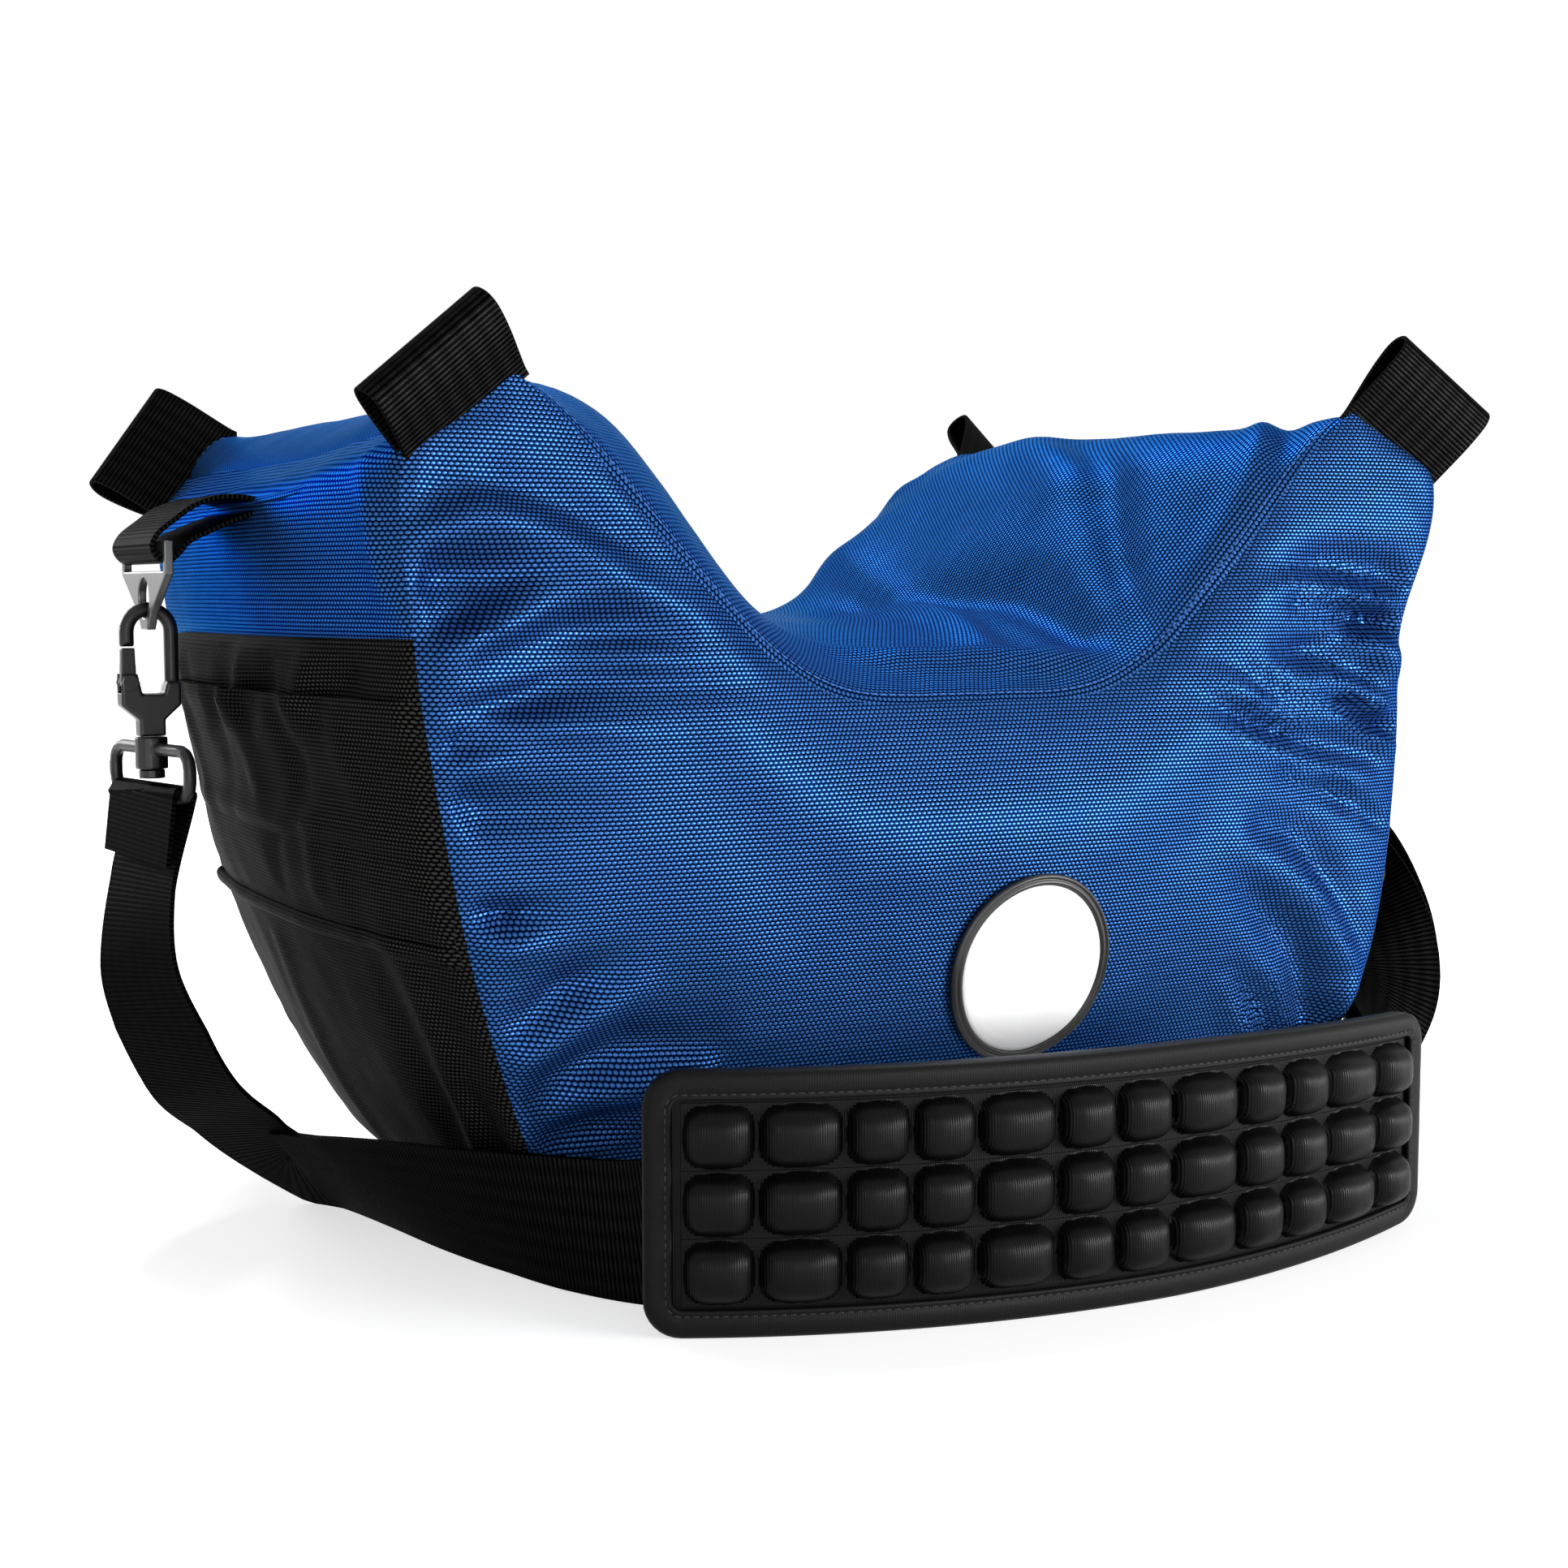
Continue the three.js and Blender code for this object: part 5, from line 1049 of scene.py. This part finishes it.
def on_pad(s, z, r):
    """A point of the pad from its flat pattern: s along it, z up, r from the arc's centre."""
    angle = math.radians(PAD_MIDDLE) + s / PAD_MEAN_R
    pinch = 0.09 * np.clip((s - 20) / 125, 0, 1) ** 1.5
    up = PAD_HEIGHT / 2 + (z - PAD_HEIGHT / 2) * (1 - pinch)
    return places(ARC_X + r * np.sin(angle), ARC_Y - r * np.cos(angle), up)


pad_knit = ribbed("pad_knit", 0.0005, 0.005, 0.75, 0.38, 0.35, haze=0.09)
binding_tape = ribbed("binding_tape", 0.0015, 0.009, 0.5, 0.5, 0.35, haze=0.09)


def pad_outline(inset, straight=60, round_steps=8):
    """Points of the pad's outline, pulled in by a distance."""
    half, low, high = PAD_LENGTH / 2 - inset, inset, PAD_HEIGHT - inset
    corner = PAD_CORNER - inset
    far = half - corner

    def arc(x, z, start):
        turns = [math.radians(start + 90 * k / round_steps) for k in range(round_steps + 1)]
        return [(x + corner * math.cos(turn), z + corner * math.sin(turn)) for turn in turns]

    points = [(-far + 2 * far * k / straight, low) for k in range(straight)]
    points += arc(far, low + corner, -90) + arc(far, high - corner, 0)
    points += [(far - 2 * far * k / straight, high) for k in range(1, straight)]
    points += arc(-far, high - corner, 90) + arc(-far, low + corner, 180)
    return np.array(points[:-1])


def linked(name, mesh):
    """A finished bmesh as an object of the scene."""
    bmesh.ops.recalc_face_normals(mesh, faces=mesh.faces)
    data = bpy.data.meshes.new(name)
    mesh.to_mesh(data)
    mesh.free()
    piece = bpy.data.objects.new(name, data)
    bpy.context.collection.objects.link(piece)
    return piece


def closed_sweep(name, rings, u):
    """A closed band: rings[k] is the outline at one place of the profile, joined to the next and back."""
    rings = np.stack(rings, axis=1)
    count, sides = rings.shape[:2]
    mesh = bmesh.new()
    points = [[mesh.verts.new(rings[i, k] * MM) for k in range(sides)] for i in range(count)]
    pattern = mesh.loops.layers.uv.new("UVMap")
    for i in range(count):
        j = (i + 1) % count
        for k in range(sides):
            m = (k + 1) % sides
            face = mesh.faces.new([points[i][k], points[j][k], points[j][m], points[i][m]])
            face.smooth = True
            for loop, (a, b) in zip(face.loops, [(i, k), (i + 1, k), (i + 1, k + 1), (i, k + 1)]):
                loop[pattern].uv = (u[a] * MM, b * 1.2 * MM)
    return linked(name, mesh)


TAPE_PROFILE = [  # how far in from the pad's outline, and how far off the face of its base
    (0.2, 0.2 - PAD_BASE_THICK), (-0.2, 2 - PAD_BASE_THICK), (-0.3, -1), (0.2, 1.2), (1.2, 2.1), (3, 2.5),
    (5.2, 2.5), (6.6, 2.2), (7.2, 1.85), (7.8, 2.15), (8.8, 2.2), (9.1, 1.6), (9, 0.6), (2, 0.3),
    (1.6, 0.2 - PAD_BASE_THICK),
]
rims = [pad_outline(max(inset, 0)) for inset, out in TAPE_PROFILE]
tape_rings = [on_pad(rim[:, 0], rim[:, 1], PAD_FRONT + out) for rim, (inset, out) in zip(rims, TAPE_PROFILE)]
outer = pad_outline(0)
tape_run = run_along(np.vstack([outer, outer[:1]]))
pad_tape = closed_sweep("pad_tape", tape_rings, tape_run)
finish_piece(pad_tape, binding_tape, "pad", ["pad_binding"])


def pad_plate(name, inset, r, thick, columns, rows):
    """A bowed plate with the pad's outline, pulled in by a distance."""
    half, corner = PAD_LENGTH / 2 - inset, PAD_CORNER - inset
    s = np.linspace(-half, half, columns)
    over = np.maximum(np.abs(s) - (half - corner), 0)
    drop = corner - np.sqrt(np.maximum(corner**2 - over**2, 0))
    v = np.linspace(-1, 1, rows)
    reach = PAD_HEIGHT / 2 - inset - drop * 0.98
    z = PAD_HEIGHT / 2 + reach[:, None] * v[None, :]
    s_grid = s[:, None] * np.ones_like(z)
    return skin_mesh(name, on_pad(s_grid, z, r), s_grid, z, thick, False)


plate = pad_plate("pad_plate", BINDING_THICK + 0.3, PAD_FRONT - 0.1, PAD_BASE_THICK - 0.4, 120, 24)
finish_piece(plate, pad_knit, "pad", ["pad_base"])

FIELD = PAD_LENGTH / 2 - BINDING - 3
ROW_HEIGHT = (PAD_HEIGHT - 2 * BINDING - 2) / 3
CELL_POINTS, CELL_GAP, CELL_SQUARENESS = 23, 0.9, 3.4
widths = np.array(CELL_WIDTHS, float) * (2 * FIELD / sum(CELL_WIDTHS))
cell_share = (1 - np.cos(np.linspace(0, np.pi, CELL_POINTS))) / 2


def pillow_share(width):
    """Place across a cell, from -1 at one side to 1 at the other, over points across it and its gaps."""
    return (cell_share * width - width / 2) / (width / 2 - CELL_GAP)


for cell_row in range(3):
    s, across = [], []
    start = -FIELD
    for width in widths:
        s += list(start + cell_share[:-1] * width)
        across += list(pillow_share(width)[:-1])
        start += width
    s.append(start)
    across.append(-1.1)
    s, across = np.array(s), np.array(across)
    low = BINDING + 1 + cell_row * ROW_HEIGHT + 0.1
    z = low + cell_share * (ROW_HEIGHT - 0.2)
    up = pillow_share(ROW_HEIGHT - 0.2)
    corners = np.abs(across[:, None]) ** CELL_SQUARENESS + np.abs(up[None, :]) ** CELL_SQUARENESS
    reach = corners ** (1 / CELL_SQUARENESS)
    rise = np.sqrt(np.clip(1 - reach**2.6, 0, 1))
    s_grid, z_grid = s[:, None] * np.ones_like(rise), np.ones_like(rise) * z[None, :]
    uneven = 0.7 * soft_noise(on_pad(s_grid, z_grid, PAD_FRONT), 30, 91.7)
    puff = PAD_FRONT + 0.6 + (CELL_RISE + uneven) * rise
    cells = skin_mesh(f"pad_cells_{cell_row + 1}", on_pad(s_grid, z_grid, puff), s_grid, z_grid, 0.5, False)
    finish_piece(cells, pad_knit, "pad", [f"pad_cell_row_{cell_row + 1}"])

SLEEVE_FROM, SLEEVE_TO, SLEEVE_COLUMNS = -21, 8, 60
SLEEVE_PROFILE = [  # distance from the arc's centre, and height
    (353.1, 3), (351, 4.2), (348.7, 7), (348.3, 12), (348.2, 34), (348.3, 56), (348.7, 61), (351, 63.8),
    (353.1, 65),
]
sleeve_angles = np.linspace(SLEEVE_FROM, SLEEVE_TO, SLEEVE_COLUMNS)
sleeve_grid = np.array([[arc_point(r, degrees, z) for r, z in SLEEVE_PROFILE] for degrees in sleeve_angles])
sleeve_u = np.radians(sleeve_angles)[:, None] * STRAP_R * np.ones((1, len(SLEEVE_PROFILE)))
sleeve_v = np.array([z for r, z in SLEEVE_PROFILE])[None, :] * np.ones((SLEEVE_COLUMNS, 1))
sleeve = skin_mesh("pad_channel", sleeve_grid, sleeve_u, sleeve_v, 0.6, True, offset=1)
finish_piece(sleeve, pad_knit, "pad", ["pad_sleeve"])

# ---------------------------------------------------------------- round patch
# A moulded rubber badge sits on the front: a plain white disc in a raised black rim with a narrow
# groove. It carries no design.


def front_point(x, z, out, side=-1):
    """A point over the dressed cloth of the front or back."""
    top = seam_height(x)
    a = x / half_length(z)
    c = np.clip((z - BASE_SEAM_Z) / (top - BASE_SEAM_Z), 0, 1)
    smooth = settled(places(x, side * (half_depth(z) + front_bulge(a, c)), z))
    folds, seed = (FRONT_FOLDS, FRONT_SEED) if side < 0 else (back_folds, BACK_SEED)
    smooth[..., 1] += side * (cover_lift(smooth, a, c, top, side, folds, seed) + out)
    return smooth


def rubber(name, colour, roughness):
    """Moulded rubber with a fine grain."""
    moulded, tree, shader = surface(name)
    grain = noise_socket(tree, tree.nodes.new("ShaderNodeTexCoord").outputs["Object"], 900, 3)
    two_tone(tree, shader, [c * 0.94 for c in colour], colour, grain)
    raise_surface(tree, shader, grain, 0.1, 0.1)
    shader["Roughness"].default_value = roughness
    return moulded


patch_black = rubber("patch_black", (0.012, 0.012, 0.013), 0.45)
patch_white = rubber("patch_white", (0.93, 0.93, 0.93), 0.5)
turn = np.linspace(0, 2 * math.pi, 97)
around = turn[:-1]
RIM_PROFILE = [  # distance from the patch's middle, and how far it stands out
    (35.2, 0.2), (35.3, 1.3), (34.9, 2.1), (34.3, 2.5), (33.9, 2.5), (33.5, 1.9), (33.1, 1.9), (32.7, 2.5),
    (31.9, 2.6), (31.2, 2.2), (30.9, 1.4), (30.8, 0.2),
]
BACKING = 0.6
rim_rings = [
    front_point(PATCH_X + r * np.cos(around), PATCH_Z + r * np.sin(around), out + BACKING)
    for r, out in RIM_PROFILE
]
patch_rim = closed_sweep("patch_ring", rim_rings, np.linspace(0, 220, 97))
finish_piece(patch_rim, patch_black, "bag", ["patch_rim"])
radii = np.array([0.01, 6, 12, 18, 23, 27, 29.4, 30.3, 30.7])
disc_out = np.array([1.5, 1.5, 1.5, 1.5, 1.5, 1.5, 1.45, 1.2, 0.7])[None, :] + BACKING
disc_x = PATCH_X + radii[None, :] * np.cos(turn)[:, None]
disc_z = PATCH_Z + radii[None, :] * np.sin(turn)[:, None]
disc = skin_mesh("patch_face", front_point(disc_x, disc_z, disc_out), disc_x, disc_z, 0.6, False)
finish_piece(disc, patch_white, "bag", ["patch_disc"])

# ---------------------------------------------------------------- fill zip
# The beans go in through a coil zip low on the back. It is black tape with two rows of teeth and a slider
# with a pull.
zip_tape = ribbed("zip_tape", 0.0005, 0.01, 0.8, 0.5, 0.4)
tape_x, tape_z = np.meshgrid(np.linspace(-ZIP_HALF, ZIP_HALF, 80), np.linspace(-12, 12, 17), indexing="ij")
tape_out = 1.6 + 1.5 * np.exp(-(((np.abs(tape_z) - 6) / 3) ** 2)) - 0.9 * np.exp(-((tape_z / 2) ** 2))
tape = skin_mesh("zip_tape", front_point(tape_x, ZIP_Z + tape_z, tape_out, 1), tape_x, tape_z, 0.8, True)
finish_piece(tape, zip_tape, "bag", ["fill_zip"])


PEG_SIDES = 6
PEG_SECTIONS = [(-0.5, 0.35), (-0.3, 1), (0.3, 1), (0.5, 0.35)]  # share of the length, share of the width


def pegs(name, places, runs, normals, length, width, height, material, body):
    """Many short rounded pegs in one mesh: teeth, or stitches of thread."""
    mesh = bmesh.new()
    for place, run, normal in zip(places, runs, normals):
        sideways = np.cross(run, normal)
        sections = []
        for along, share in PEG_SECTIONS:
            ring = []
            for step in range(PEG_SIDES):
                angle = 2 * math.pi * step / PEG_SIDES
                off = sideways * math.cos(angle) * width + normal * math.sin(angle) * height
                ring.append(mesh.verts.new((place + run * along * length + off * share / 2) * MM))
            sections.append(ring)
        for before, after in zip(sections, sections[1:]):
            for k in range(PEG_SIDES):
                m = (k + 1) % PEG_SIDES
                mesh.faces.new([before[k], before[m], after[m], after[k]])
        mesh.faces.new(sections[0][::-1])
        mesh.faces.new(sections[-1])
    for face in mesh.faces:
        face.smooth = True
    piece = linked(name, mesh)
    piece.data.uv_layers.new(name="UVMap")
    return finish_piece(piece, material, body, [])


teeth_x = np.arange(-ZIP_HALF + 1, ZIP_HALF - 1, 1.5)
teeth_z = ZIP_Z + np.where(np.arange(len(teeth_x)) % 2 == 0, 0.7, -0.7)
teeth = front_point(teeth_x, teeth_z, 1.5, 1)
up_way = np.tile([0.0, 0.0, 1.0], (len(teeth), 1))
back_way = np.tile([0.0, 1.0, 0.0], (len(teeth), 1))
pegs("zip_teeth", teeth, up_way, back_way, 3.4, 1.1, 1.4, black_metal, "bag")
cast_copy("zip_slider", "fill_zip_slider", 0.3, 4, "zip_pull")
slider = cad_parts["fill_zip_slider"]
slider_at = sum((slider.matrix_world @ Vector(corner) for corner in slider.bound_box), Vector()) / 8
bpy.ops.object.select_all(action="DESELECT")
bpy.ops.mesh.primitive_cube_add(size=1, location=(0, 0, 0))
pull = bpy.context.object
pull.name = pull.data.name = "zip_pull_tab"
pull_place = Matrix.Translation(slider_at + Vector((0, 1.2, -10)) * MM)
pull.data.transform(pull_place @ Matrix.Diagonal((6 * MM, 1.2 * MM, 17 * MM, 1)))
shaped(pull, "BEVEL", width=0.5 * MM, segments=3)
pull.data.shade_smooth()
finish_piece(pull, black_metal, "zip_pull", [])

# ---------------------------------------------------------------- stitches
# Blue thread holds the saddle's two long seams, just inside their edges. Black thread runs round the pad
# in the groove of its tape.


def thread(name, colour):
    """Twisted sewing thread."""
    yarn, tree, shader = surface(name)
    twist = noise_socket(tree, tree.nodes.new("ShaderNodeTexCoord").outputs["Object"], 2500, 2)
    two_tone(tree, shader, [c * 0.6 for c in colour], colour, twist)
    dial(shader, {"Roughness": 0.6, "Specular IOR Level": 0.15})
    return yarn


blue_thread = thread("blue_thread", (0.05, 0.16, 0.5))
black_thread = thread("black_thread", (0.03, 0.03, 0.03))


STITCH_WIDTH, STITCH_HEIGHT = 0.6, 0.5


def stitch_line(name, line, normals, pitch, length, material, body):
    """A row of stitches on a line over a surface."""
    run = run_along(line)
    at = np.arange(pitch / 2, run[-1], pitch)
    places = np.stack([np.interp(at, run, line[:, k]) for k in range(3)], axis=-1)
    ahead = np.stack([np.interp(at + 0.5, run, line[:, k]) for k in range(3)], axis=-1) - places
    ahead /= np.maximum(np.linalg.norm(ahead, axis=1, keepdims=True), 1e-6)
    facing = np.stack([np.interp(at, run, normals[:, k]) for k in range(3)], axis=-1)
    facing /= np.linalg.norm(facing, axis=1, keepdims=True)
    return pegs(name, places, ahead, facing, length, STITCH_WIDTH, STITCH_HEIGHT, material, body)


for name, row in [("front", 1), ("back", -2)]:
    line, facing = saddle_points[2:-2, row], saddle_normals[2:-2, row]
    stitch_line(f"{name}_seam_stitches", line, facing, 3.6, 2.3, blue_thread, "bag")
tape_line = pad_outline(7.2, 120, 10)
tape_line = np.vstack([tape_line, tape_line[:1]])
tape_points = on_pad(tape_line[:, 0], tape_line[:, 1], PAD_FRONT + 2)
tape_out = tape_points - np.array([ARC_X, ARC_Y, 0]) - np.array([0, 0, 1]) * tape_points[:, 2:]
tape_out[:, 2] = 0
tape_out /= np.linalg.norm(tape_out, axis=1, keepdims=True)
stitch_line("pad_tape_stitches", tape_points, tape_out, 3, 2, black_thread, "pad")
